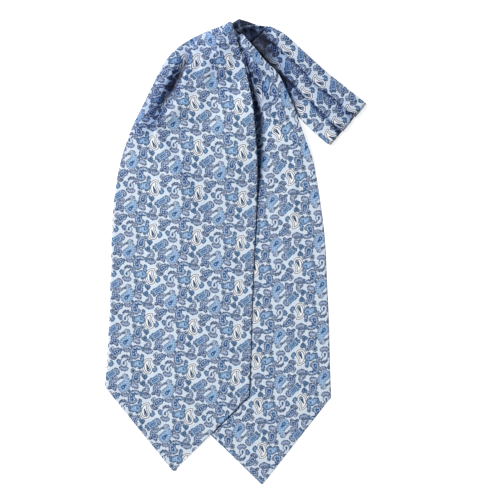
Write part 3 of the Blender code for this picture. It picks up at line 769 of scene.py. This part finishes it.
def build_pleats():
    cut = bpy.context.scene.cravat_cut
    ply, radius = cut.ply / MM, cut.fold_radius / MM * PLEAT_TIGHTNESS
    # Along the band: round its folded end, then flat as far as the throat.
    bend = np.radians(np.linspace(*END_BEND))
    outermost = WALL + FOLD_SHARE * PLEAT_RISE
    flat = np.linspace(outermost + FOLD_DEPTH, length_of(BAND_SECTIONS), BAND_ROWS)
    inset = np.concatenate([outermost + FOLD_DEPTH * (1 - np.sin(bend)), flat])
    band = through(BAND_SECTIONS, inset / length_of(BAND_SECTIONS))
    turned = np.concatenate([bend, 0 * flat])[:, None]
    width = widths(band)
    outward = np.array([band[0, 1] - band[0, 3], band[0, 2] - band[0, 0]]) / width[0]
    near = ((band[:, 2:4] - band[:, 0:2]) / width[:, None])[:, None]
    base = (band[:, 6, None] + GAP) * np.cos(turned)
    beside = soft((inset - flat[0]) / BUTT_LENGTH)
    tuck = (PLEAT_TUCK * (1 - beside) - BUTT_GAP * beside) / width
    risen = 1 - (1 - FOLD_SHARE) * np.sin(turned)
    sink = THROAT_SINK * (1 - soft((inset - inset[-1]) / THROAT_SINK_LENGTH + 1))[:, None]
    upper, middle = band[:, 4], band[:, 5]
    # Across the folded edge: the cloth turns under and runs back. It doesn't stand out where the pleats lie
    # edge to edge.
    edge = np.radians(EDGE_TURNS)
    out = np.concatenate([radius * np.sin(edge), -EDGE_RETURN])
    out = np.where(out > 0, out * (1 - beside)[:, None], out)
    down = np.concatenate([radius * (1 - np.cos(edge)), 2 * radius + 0 * EDGE_RETURN])
    run = np.concatenate([radius * edge, radius * math.pi + EDGE_RETURN])
    # Each pleat: its name, where it starts and ends across the band, its share of the rise, its share of the
    # painted shade beside the lip above it, and its print's offset.
    pleats = [
        Pleat("upper_pleat", 0 * upper, upper, 1.0, 0.0, UPPER_PRINT),
        Pleat("middle_pleat", upper - tuck, middle, 1.0, 0.6, MIDDLE_PRINT),
        Pleat("lower_pleat", middle - tuck, 0 * middle + 1, LOWER_RISE, 1.0, LOWER_PRINT),
    ]
    made = []
    for name, start, end, share_of_rise, painted_shade_share, print_offset in pleats:
        is_upper = name == "upper_pleat"
        hidden = 0 if is_upper else PLEAT_TUCK
        strip = ((end - start) * width)[:, None] * PLEAT_COLUMNS
        soon = 1 - soft((strip - hidden) / PLEAT_SOON)
        late = 1 - soft(PLEAT_COLUMNS / PLEAT_LEVEL)
        rise = share_of_rise * PLEAT_RISE * (SOON_SHARE * soon + (1 - SOON_SHARE) * late) * risen
        plan = across(band, start[:, None] + (end - start)[:, None] * PLEAT_COLUMNS)
        plan += (rise * np.sin(turned))[..., None] * outward
        heights = base + rise * np.cos(turned)
        if is_upper:
            heights[:, :2] -= np.array([PLEAT_DROP, 0.5 * PLEAT_DROP]) * np.cos(turned)
        heights = np.maximum(heights - sink, FOLD_CLEAR) + ply / 2
        print_at = print_on_band(plan, print_offset)
        hem = plan[:, -1:] + near * out[..., None] - (down * np.sin(turned))[..., None] * outward
        plan = np.concatenate([plan, hem], axis=1)
        heights = np.concatenate([heights, np.maximum(heights[:, -1:] - down * np.cos(turned), HEM_CLEAR)], axis=1)
        print_at = np.concatenate([print_at, print_at[:, -1:] - np.stack([run, 0 * run], axis=-1)], axis=1)
        # Painted shade: darker where the band lies deep by the throat, beside each neighbour's lip and along the
        # folded edges of the upper and middle pleats.
        painted_shade_amount = relief(plan, BAND_PAINTED_SHADE)
        if not is_upper:
            dark = painted_shade_share * PLEAT_PAINTED_SHADE * soft((strip - hidden) / PLEAT_PAINTED_SHADE_REACH)
            painted_shade_amount[:, : len(PLEAT_COLUMNS)] += dark
        if name != "lower_pleat":
            painted_shade_amount[:, len(PLEAT_COLUMNS) - 2 :] += LIP_PAINTED_SHADE
        made.append(shell(name, at_height(plan, heights), print_at, ply, painted_shade_amount))
    return made


def build_turn():
    ply = bpy.context.scene.cravat_cut.ply / MM
    surface = turn_surface(*TURN_GRID)
    surface[..., 2] += ply / 2
    side, way = np.zeros(TURN_GRID), np.zeros(TURN_GRID)
    side[1:] = np.cumsum(np.linalg.norm(np.diff(surface, axis=0), axis=-1), axis=0)
    way[:, 1:] = np.cumsum(np.linalg.norm(np.diff(surface, axis=1), axis=-1), axis=1)
    print_at = print_on_band(surface, MIDDLE_PRINT) + TURN_STRETCH * np.stack([side, -way], axis=-1)
    # The last argument is the shade painted into the colour in the hollow at the throat.
    return shell("throat_turn", surface, print_at, ply, relief(surface[..., 0:2], BAND_PAINTED_SHADE))


def build_core():
    rows = core_rows(CORE_STATIONS)
    rows[:, 6] *= np.interp(CORE_STATIONS, *CORE_THINNING)
    rings = []
    for i, section in enumerate(rows):
        near_end = min(i, len(rows) - 1 - i)
        fullness = CORE_ENDS[near_end] if near_end < len(CORE_ENDS) else 1.0
        far, near, height = section[0:2], section[2:4], section[6]
        along = (near - far) / np.linalg.norm(near - far)
        edge = min(CORE_EDGE, height / 2)
        ring = []
        for start, inward, points in ((far, along, CORE_PROFILE), (near, -along, CORE_PROFILE[::-1])):
            for inset, share in points:
                spot = start + inward * inset * edge
                ring.append((*spot, height * (0.5 + (share - 0.5) * fullness)))
        rings.append(ring)
    rings = np.array(rings)
    index = np.arange(rings[..., 0].size).reshape(rings.shape[:2])
    after = np.roll(index, -1, axis=1)
    faces = np.stack([index[:-1], after[:-1], after[1:], index[1:]], axis=-1).reshape(-1, 4).tolist()
    faces += [index[0, ::-1].tolist(), index[-1].tolist()]
    print_at = print_on_band(rings, CORE_PRINT).reshape(-1, 2)
    # Painted shade: the hidden core is darkened all over, and more towards the throat.
    painted_shade_amount = relief(rings[..., 0:2], BAND_PAINTED_SHADE).ravel() + CORE_PAINTED_SHADE
    return cloth_piece("hidden_pleats", rings.reshape(-1, 3), faces, print_at, painted_shade_amount)


class Value:
    """One output of a material's nodes. Python's operators on it make the Math nodes that work it out."""

    def __init__(self, tree, socket):
        self.tree, self.socket = tree, socket

    def node(self, kind, settings, inputs):
        made = self.tree.nodes.new(kind)
        for name, setting in settings.items():
            setattr(made, name, setting)
        for name, given in inputs.items():
            if isinstance(given, Value):
                self.tree.links.new(given.socket, made.inputs[name])
            else:
                made.inputs[name].default_value = given
        return made

    def of(self, kind, settings, inputs, output=0):
        return Value(self.tree, self.node(kind, settings, inputs).outputs[output])

    def math(self, operation, *others):
        return self.of("ShaderNodeMath", {"operation": operation}, dict(enumerate((self, *others))))

    def __add__(self, other):
        return self.math("ADD", other)

    __radd__ = __add__

    def __sub__(self, other):
        return self.math("SUBTRACT", other)

    def __rsub__(self, other):
        return self.of("ShaderNodeMath", {"operation": "SUBTRACT"}, {0: other, 1: self})

    def __mul__(self, other):
        return self.math("MULTIPLY", other)

    __rmul__ = __mul__

    def __truediv__(self, other):
        return self.math("DIVIDE", other)

    def clamped(self):
        return self.of("ShaderNodeMath", {"operation": "ADD", "use_clamp": True}, {0: self, 1: 0})

    def parts(self):
        """Places across and up."""
        apart = self.node("ShaderNodeSeparateXYZ", {}, {0: self})
        return Value(self.tree, apart.outputs[0]), Value(self.tree, apart.outputs[1])

    def ramp(self, stops):
        low, reach = stops[0][0], stops[-1][0] - stops[0][0]
        made = self.node("ShaderNodeValToRGB", {}, {0: self.math("MULTIPLY_ADD", 1 / reach, -low / reach)})
        steps = made.color_ramp.elements
        for at, colour in stops[1:-1]:
            steps.new((at - low) / reach)
        for step, (at, colour) in zip(steps, stops):
            step.position, step.color = (at - low) / reach, (*colour[:3], 1)
        return Value(self.tree, made.outputs[0])

    def blend(self, other, factor, kind="MIX"):
        if not isinstance(other, Value):
            other = (*other[:3], 1)
        settings = {"data_type": "RGBA", "blend_type": kind}
        return self.of("ShaderNodeMix", settings, {0: factor, 6: self, 7: other}, 2)


def srgb(*channels):
    """A colour of 0 to 255 channels as linear light."""
    shares = [channel / 255 for channel in channels]
    return tuple(s / 12.92 if s <= 0.04045 else ((s + 0.055) / 1.055) ** 2.4 for s in shares)


def length(x, y):
    return (x * x + y * y).math("SQRT")


def least(first, *others):
    for other in others:
        first = first.math("MINIMUM", other)
    return first


def beads(body, count, way, radius):
    """Beads down the middle of a body that Motif.arc gave."""
    _, along, away = body
    return length(((along * count).math("FRACT") - 0.5) * (way / count), away) - radius


class Motif:
    """A middle that comes once in each repeat of the print, and forms about it, as distances from their edges."""

    def __init__(self, uv, x, y, turn):
        half = REPEAT / 2
        moved = uv.of("ShaderNodeVectorMath", {"operation": "SUBTRACT"}, {0: uv, 1: (x, y, 0)})
        limits = {0: moved, 1: (half, half, 1), 2: (-half, -half, -1)}
        near = uv.of("ShaderNodeVectorMath", {"operation": "WRAP"}, limits)
        angle = {"Vector": near, "Angle": -math.radians(turn)}
        self.x, self.y = uv.of("ShaderNodeVectorRotate", {"rotation_type": "Z_AXIS"}, angle).parts()

    def arc(self, start, middle, end, base, tip, full=False):
        """Distance from a body that runs round an arc through three places and tapers, its share of the way
        along, and the distance from its middle line."""
        (ax, ay), (bx, by), (cx, cy) = start, middle, end
        d = 2 * (ax * (by - cy) + bx * (cy - ay) + cx * (ay - by))
        ox = ((ax**2 + ay**2) * (by - cy) + (bx**2 + by**2) * (cy - ay) + (cx**2 + cy**2) * (ay - by)) / d
        oy = ((ax**2 + ay**2) * (cx - bx) + (bx**2 + by**2) * (ax - cx) + (cx**2 + cy**2) * (bx - ax)) / d
        radius = math.hypot(ax - ox, ay - oy)
        first = math.atan2(ay - oy, ax - ox)
        sweep = (math.atan2(cy - oy, cx - ox) - first) % (2 * math.pi)
        if (math.atan2(by - oy, bx - ox) - first) % (2 * math.pi) > sweep:
            sweep -= 2 * math.pi
        px, py = self.x - ox, self.y - oy
        turn = (py.math("ARCTAN2", px) - (first + sweep / 2)).math("WRAP", math.pi, -math.pi)
        along = (turn / sweep + 0.5).clamped()
        angle = along * sweep + first
        away = length(px - angle.math("COSINE") * radius, py - angle.math("SINE") * radius)
        taper = along * along if full else along
        return away - (taper * (tip - base) + base), along, away

    def curl(self, *args):
        return self.arc(*args)[0]

    def dot(self, across, up, radius):
        return length(self.x - across, self.y - up) - radius

    def rim_beads(self, edge, drop, inward, radius, count, around):
        """Beads inside the edge of a form, around a middle that lies lower by the drop."""
        angle = (self.y + drop).math("ARCTAN2", self.x) * (count / (2 * math.pi))
        return length((angle.math("FRACT") - 0.5) * (2 * math.pi * around / count), edge + inward) - radius


def motifs(uv):
    """Distances from the edges of the print's forms, by the kind of motif they belong to."""
    # White cone with a dark drop
    at = Motif(uv, 0, 0, 2)
    white = [at.curl((0, -1.8), (-0.9, 3.6), (2.9, 8.2), 4.7, 1.1, True)]
    drops = [at.curl((0.6, -2.2), (-0.3, 0.4), (-1.1, 2.8), 1.6, 0.5)]
    pale = [at.dot(0.7, -2.3, 0.5)]
    # Leaf and heart
    at = Motif(uv, 7, -1, -14)
    solid = [at.curl((0.1, -0.7), (0.8, 1), (-0.3, 2.4), 2.2, 0.9)]
    at = Motif(uv, -2.7, -9.6, 6)
    solid += [at.curl((-1.2, 1.2), (-0.9, -0.6), (0, -2.4), 1.5, 0.5)]
    solid += [at.curl((1.4, 0.7), (1, -0.9), (0, -2.4), 1.5, 0.5)]
    # Light pod with a dark end and a bud
    at = Motif(uv, -10.2, 1.9, 8)
    light = [at.curl((2.1, -0.2), (-0.6, 0.4), (-3, -0.6), 3.9, 2.6)]
    light += [at.curl((4.4, 3.8), (4.9, 5.2), (4.9, 6.6), 1.8, 1.6)]
    solid += [at.curl((-5, 1.8), (-5.6, 0.2), (-5, -1.6), 1.5, 1.2)]
    solid += [at.dot(1.6, -3.6, 1.3), at.dot(5.6, 7.9, 1.6)]
    cores = [at.dot(2.5, 0.6, 1.3)]
    pale += [at.dot(2.9, 0.9, 0.55), at.dot(-0.2, 1.3, 0.5)]
    # Crescent with a hook
    at = Motif(uv, -13, 13.4, -2)
    body = at.arc((-0.7, -3.4), (-1.5, 2), (4.4, 4.6), 3.9, 1.8)
    pod = [body[0], at.curl((1.8, -4.2), (3, -4), (3, -2.6), 1.3, 1)]
    solid += [at.curl((6.4, 4.8), (7.8, 4.4), (7.6, 2.8), 1.3, 1)]
    cores += [at.curl((-0.9, -2.6), (-1.4, 1.2), (1.6, 3.4), 1.5, 0.8)]
    pale += [beads(body, 4, 11, 0.55)]
    # Curled blossom
    at = Motif(uv, 11.2, 10.6, -6)
    body = at.arc((-0.6, -1.6), (0.6, 0.6), (2.6, 2), 3.3, 3.1)
    pod += [body[0]]
    cores += [at.curl((-0.5, -1.4), (0.7, 0.5), (2.2, 1.8), 1.5, 1.3)]
    pale += [beads(body, 2, 5, 0.6)]
    rings = [at.curl((-3.9, 1), (-4.3, 2.4), (-3, 3.2), 1.9, 1.4)]
    arcs = [at.curl((-4.8, -4.4), (-2.4, -6.6), (0.8, -5.2), 1.2, 0.9)]
    solid += [at.dot(4.6, 3.6, 1.5)]
    # Open drop with an arc over it
    at = Motif(uv, 20.4, 1.6, -4)
    opened = [at.curl((-0.4, -1), (-0.9, 2.2), (1.2, 4.2), 3.3, 1.7)]
    seed = [at.curl((-0.5, -1.2), (-0.6, 0), (-0.2, 1.4), 1.15, 0.5)]
    arcs += [at.curl((-2.6, 4.2), (0.6, 7), (4.2, 5.8), 0.8, 1)]
    plum = [at.curl((5.6, 5.4), (6, 3.8), (5, 2.8), 1.9, 1.5)]
    plum += [at.curl((-2.4, -5.6), (0.3, -6.4), (2.8, -5.4), 2, 2)]
    solid += [at.curl((-5.8, 0.4), (-5.6, -0.8), (-5, -1.6), 1.9, 1.5)]
    # Pod with two curls on its shoulders
    at = Motif(uv, -11.2, -10.2, -12)
    body = at.arc((0.4, -2), (0, 0.6), (0.8, 2.6), 4.1, 3)
    pod += [body[0], at.dot(3.6, -4.4, 1.3), at.dot(-3, -4.8, 1.2)]
    cores += [at.curl((0.4, -2), (0.1, 0.6), (0.8, 2.4), 1.9, 1.2)]
    pale += [beads(body, 3, 6, 0.6)]
    rings += [at.dot(-4, 4.2, 2.4), at.dot(3.6, 4.9, 2.2)]
    # Long slanting bud
    at = Motif(uv, 8.2, -11.2, -54)
    body = at.arc((0, -3.2), (0.3, 0.2), (0, 3.4), 3.3, 3.4)
    light += [body[0]]
    cores += [at.curl((0, -2.6), (0.2, 0.2), (0, 2.6), 1.2, 1.1)]
    pale += [beads(body, 4, 8, 0.5)]
    solid += [at.dot(-1.2, -6.6, 1.7), at.dot(2, -6, 1.5)]
    plum += [at.curl((-1.8, 6.2), (0.4, 7.2), (2.4, 6), 1.6, 1.5)]
    rings += [at.dot(5.2, 1.6, 1.9)]
    # Large light cone with a beaded edge
    at = Motif(uv, 21.4, -19.6, -6)
    large = [at.curl((-1, -3.6), (1.9, 1.4), (0.6, 7), 4.9, 2, True)]
    cores += [at.curl((-0.9, -3.4), (0.2, -1.6), (1.4, -0.4), 1.8, 0.8)]
    pale += [at.rim_beads(large[0], 0.6, 0.75, 0.5, 17, 5.4)]
    pale += [at.dot(-0.8, -3.3, 0.6), at.dot(1.4, 2, 0.6), at.dot(0.6, 4.4, 0.5)]
    rings += [at.curl((-1.8, 7.6), (-0.4, 9.2), (1.4, 8.4), 1.3, 1.2)]
    arcs += [at.curl((-6.4, 3), (-4.8, 5.2), (-2.8, 6), 0.7, 0.9)]
    plum += [at.curl((-0.6, -9.6), (1.8, -10.4), (3.8, -9.4), 1.6, 1.8)]
    solid += [at.dot(5.6, -5.4, 1.4), at.dot(6.4, 4.6, 1.1)]
    # Its dark companion
    at = Motif(uv, 10.9, -20.6, 0)
    body = at.arc((-0.2, -1.8), (-1.6, 1.4), (1.4, 3.4), 3.7, 2)
    dark = [body[0], at.dot(-4.4, -4.2, 1.5), at.dot(1.2, -5.2, 1.4)]
    pale += [beads(body, 4, 8, 0.6)]
    # Small oval and blossom
    at = Motif(uv, -12.2, -19.6, 74)
    plum += [at.curl((0, -1.4), (0.3, 0), (0, 1.6), 2.6, 2.5)]
    pale += [at.dot(0.1, 0.2, 0.7)]
    at = Motif(uv, -3.9, -16.4, 30)
    solid += [at.dot(-1.4, 0.8, 1.6), at.dot(1.3, 1.2, 1.5), at.dot(0.2, -1.4, 1.6)]
    # Tall drop with a lobed base
    at = Motif(uv, -0.6, -22.4, 6)
    plum += [at.curl((-0.6, -1.2), (1.2, 1.6), (0.4, 4.8), 3.3, 1.5)]
    plum += [at.curl((-3.2, -5.2), (-0.4, -6.6), (2.8, -5.4), 2, 1.9)]
    opened += [at.curl((-0.6, -1), (0.5, 1), (0.2, 3), 1.9, 0.8)]
    seed += [at.dot(-0.5, -0.6, 0.7)]
    kinds = dict(white=white, drops=drops, light=light, large=large, pod=pod, dark=dark, plum=plum, rings=rings,
                 solid=solid, arcs=arcs, opened=opened, seed=seed, cores=cores, pale=pale)
    return {kind: least(*forms) for kind, forms in kinds.items()}


def printed(uv, ink):
    """The print's colour over the silk."""
    forms = motifs(uv)
    u, v = uv.parts()

    def inked(form, stops):
        return form.ramp([(at, getattr(ink, name)) for at, name in stops])

    colour = inked(forms["white"], WHITE_CONE)
    colour = colour.blend(ink.teal, forms["drops"].math("LESS_THAN", 0))
    ragged = (u * SCALLOP).math("SINE") * (v * SCALLOP).math("SINE") * SCALLOP_DEPTH
    for kind, stops in LAYERS.items():
        form = forms[kind] + ragged
        colour = colour.blend(inked(form, stops), form.math("LESS_THAN", LAYER_EDGE))
    colour = colour.blend(ink.slate, forms["seed"].math("LESS_THAN", 0))
    twill = ((u + v) * STIPPLE).math("SINE") * ((u - v) * STIPPLE).math("SINE")
    within = least(*(forms[kind] for kind in STIPPLED)).math("LESS_THAN", STIPPLE_EDGE)
    for name, steepness, strength in STIPPLES:
        stipple = (twill * steepness - STIPPLE_LEVEL).clamped() * within * strength
        colour = colour.blend(getattr(ink, name), stipple)
    colour = colour.blend(inked(forms["cores"], CORE_INKS), forms["cores"].math("LESS_THAN", CORE_LIMIT))
    return colour.blend(ink.pale, forms["pale"].math("LESS_THAN", 0))


def silk():
    """The printed silk."""
    found = bpy.data.materials.get("printed silk")
    if found:
        return found
    ink = bpy.context.scene.cravat_print
    material = bpy.data.materials.new("printed silk")
    material.use_nodes = True
    tree = material.node_tree
    shader = tree.nodes["Principled BSDF"]
    place = tree.nodes.new("ShaderNodeUVMap")
    place.uv_map = "print"
    uv = Value(tree, place.outputs[0])
    # Painted shade: the colour is darkened in the deep folds, where the shade falls, and there the dark inks go
    # dark before the ground.
    depth = tree.nodes.new("ShaderNodeAttribute")
    depth.attribute_name = "hollow"
    painted_shade_level = Value(tree, depth.outputs["Fac"])
    shade = painted_shade_level.ramp([(0, (1, 1, 1)), (0.5, ink.shade), (1, ink.depth)])
    colour = uv.of("ShaderNodeGamma", {}, {0: printed(uv, ink), 1: painted_shade_level * PAINTED_SHADE_CONTRAST + 1})
    colour = colour.blend(shade, 1, "MULTIPLY")
    # Fine slanting ribs of the weave over a soft unevenness, in millimetres
    u, v = uv.parts()
    unevenness = {"Vector": uv, "Scale": WAVE_SCALE, "Detail": 2}
    waves = uv.of("ShaderNodeTexNoise", {"noise_dimensions": "2D"}, unevenness)
    height = ((u + v) * RIB).math("SINE") * RIB_HEIGHT + waves * WAVE_HEIGHT
    bump = height.of("ShaderNodeBump", {}, {"Height": height, "Distance": MM})
    tree.links.new(colour.socket, shader.inputs["Base Color"])
    tree.links.new(bump.socket, shader.inputs["Normal"])
    shader.inputs["Roughness"].default_value = ink.roughness
    shader.inputs["Specular IOR Level"].default_value = SPECULAR
    shader.inputs["Sheen Weight"].default_value = ink.sheen
    shader.inputs["Sheen Roughness"].default_value = SHEEN_ROUGHNESS
    return material


def dressed(piece, node):
    """Puts a piece in its silk, hangs it from the root and hides the solid that it stands for."""
    piece.data.materials.append(silk())
    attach(piece, "root")
    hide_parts(node)


def size(name, description, default):
    return FloatProperty(name=name, description=description, default=default, min=0, unit="LENGTH")


def share_of(name, description, default, most=1):
    return FloatProperty(name=name, description=description, default=default, min=0, max=most, subtype="FACTOR")


def tint(name, description, *channels):
    colour = srgb(*channels)
    return FloatVectorProperty(name=name, description=description, default=colour, min=0, max=1, subtype="COLOR")


class CravatCut(bpy.types.PropertyGroup):
    """Sizes of the cloth."""

    ply: size("Cloth", "Thickness of the two plies", 0.0008)
    fold_radius: size("Fold radius", "How tightly the pleats fold", 0.00055)


class SilkPrint(bpy.types.PropertyGroup):
    """Colours and finish of the silk, and the tints of the shade painted into its folds."""

    ground: tint("Ground", "Open silk between the motifs", 220, 232, 246)
    white: tint("White cones", "Body of the white cones", 250, 252, 254)
    line: tint("Outlines", "Outlines of the motifs", 54, 76, 108)
    fine: tint("Fine rings", "Rings inside and around the white cones", 84, 92, 118)
    slate: tint("Slate", "Small solid leaves and seeds", 68, 96, 130)
    blue: tint("Blue", "Mid tone of the motifs", 104, 150, 194)
    deep: tint("Deep blue", "Hearts of the motifs", 50, 90, 140)
    light: tint("Light blue", "Light motifs", 156, 192, 228)
    plum: tint("Plum", "Greyed motifs", 148, 162, 196)
    pale: tint("Pale beads", "Beads, rings and stipples", 196, 210, 236)
    teal: tint("Teal", "Drop in each white cone", 36, 76, 112)
    # Painted shade: the two tints that darken the cloth's colour in its deep folds, where the shade falls
    shade: tint("Shade", "Tint of the cloth halfway down a deep fold", 194, 206, 230)
    depth: tint("Depth", "Tint of the cloth at the bottom of a deep fold", 32, 42, 74)
    roughness: share_of("Roughness", "How dull the silk's shine is", 0.55)
    sheen: share_of("Sheen", "Soft light along turned edges", 0.12)


class StudioLight(bpy.types.PropertyGroup):
    """The lights around the cravat."""

    lamp_power: FloatProperty(name="Lamp", description="Power of the soft lamp", default=205, min=0, unit="POWER")
    lamp_size: size("Lamp size", "Width of the soft lamp", 1.3)
    room: share_of("Room", "Light from all around", 0.11)
    table_glow: share_of("Table", "Light of the white table itself", 0.8, most=2)


class CRAVAT_OT_front_blade(bpy.types.Operator):
    """Add the front blade"""

    bl_idname = "cravat.front_blade"
    bl_label = "Front blade"

    def execute(self, context):
        dressed(build_front(), "blade_front")
        return {"FINISHED"}


class CRAVAT_OT_under_blade(bpy.types.Operator):
    """Add the under blade"""

    bl_idname = "cravat.under_blade"
    bl_label = "Under blade"

    def execute(self, context):
        dressed(build_under(), "blade_under")
        return {"FINISHED"}


class CRAVAT_OT_neckband(bpy.types.Operator):
    """Add the neckband's pleats, their turn at the throat and the hidden pleats below them"""

    bl_idname = "cravat.neckband"
    bl_label = "Neckband"

    def execute(self, context):
        for piece, cut_width in zip(build_pleats(), (0.022, 0.025, 0.025)):
            node = "neckband_pleat_" + piece.name.split("_")[0]
            dressed(piece, node)
        dressed(build_turn(), "neckband_turn")
        dressed(build_core(), "neckband_core")
        return {"FINISHED"}


class CRAVAT_OT_stage(bpy.types.Operator):
    """Add the surface it lies on, the lights and the camera"""

    bl_idname = "cravat.stage"
    bl_label = "Stage"

    def execute(self, context):
        scene, light = context.scene, context.scene.cravat_light
        mesh = bpy.data.meshes.new("table_top")
        corners = [(-TABLE, -TABLE, 0), (TABLE, -TABLE, 0), (TABLE, TABLE, 0), (-TABLE, TABLE, 0)]
        mesh.from_pydata(corners, [], [(0, 1, 2, 3)])
        top = added("table_top", mesh)
        paint = bpy.data.materials.new("white table")
        paint.use_nodes = True
        shader = paint.node_tree.nodes["Principled BSDF"]
        shader.inputs["Base Color"].default_value = TABLE_GREY
        shader.inputs["Roughness"].default_value = TABLE_ROUGHNESS
        shader.inputs["Emission Color"].default_value = (1, 1, 1, 1)
        shader.inputs["Emission Strength"].default_value = light.table_glow
        mesh.materials.append(paint)
        key = bpy.data.lights.new("key", "AREA")
        key.size = light.lamp_size
        key.energy = light.lamp_power
        lamp = added("key", key, LAMP_PLACE)
        lamp.rotation_euler = lamp.location.to_track_quat("Z", "Y").to_euler()
        world = bpy.data.worlds.new("room")
        world.use_nodes = True
        background = world.node_tree.nodes["Background"]
        background.inputs["Color"].default_value = ROOM_COLOUR
        background.inputs["Strength"].default_value = light.room
        scene.world = world
        lens = bpy.data.cameras.new("camera")
        lens.sensor_width = SENSOR
        lens.lens = SENSOR * CAMERA_PLACE[2] / FIELD
        lens.clip_end = CAMERA_REACH
        scene.camera = added("camera", lens, CAMERA_PLACE)
        scene.view_settings.view_transform = "Standard"
        return {"FINISHED"}


class CRAVAT_PT_panel(bpy.types.Panel):
    """The cravat's pieces, in the order in which they are laid."""

    bl_label = "Silk cravat"
    bl_space_type = "VIEW_3D"
    bl_region_type = "UI"
    bl_category = "Cravat"

    def draw(self, context):
        for step in STEPS:
            self.layout.operator(step.bl_idname)
        for name, group in GROUPS.items():
            for setting in group.__annotations__:
                self.layout.prop(getattr(context.scene, name), setting)


STEPS = (CRAVAT_OT_neckband, CRAVAT_OT_under_blade, CRAVAT_OT_front_blade, CRAVAT_OT_stage)
GROUPS = {"cravat_cut": CravatCut, "cravat_print": SilkPrint, "cravat_light": StudioLight}
CLASSES = (*GROUPS.values(), *STEPS, CRAVAT_PT_panel)


def register():
    for item in CLASSES:
        bpy.utils.register_class(item)
    for name, group in GROUPS.items():
        setattr(bpy.types.Scene, name, PointerProperty(type=group))


def unregister():
    for name in GROUPS:
        delattr(bpy.types.Scene, name)
    for item in reversed(CLASSES):
        bpy.utils.unregister_class(item)


def main():
    register()
    bpy.ops.object.select_all(action="DESELECT")
    bpy.ops.cravat.neckband()
    bpy.ops.cravat.under_blade()
    bpy.ops.cravat.front_blade()
    bpy.ops.cravat.stage()


if __name__ == "__main__":
    main()
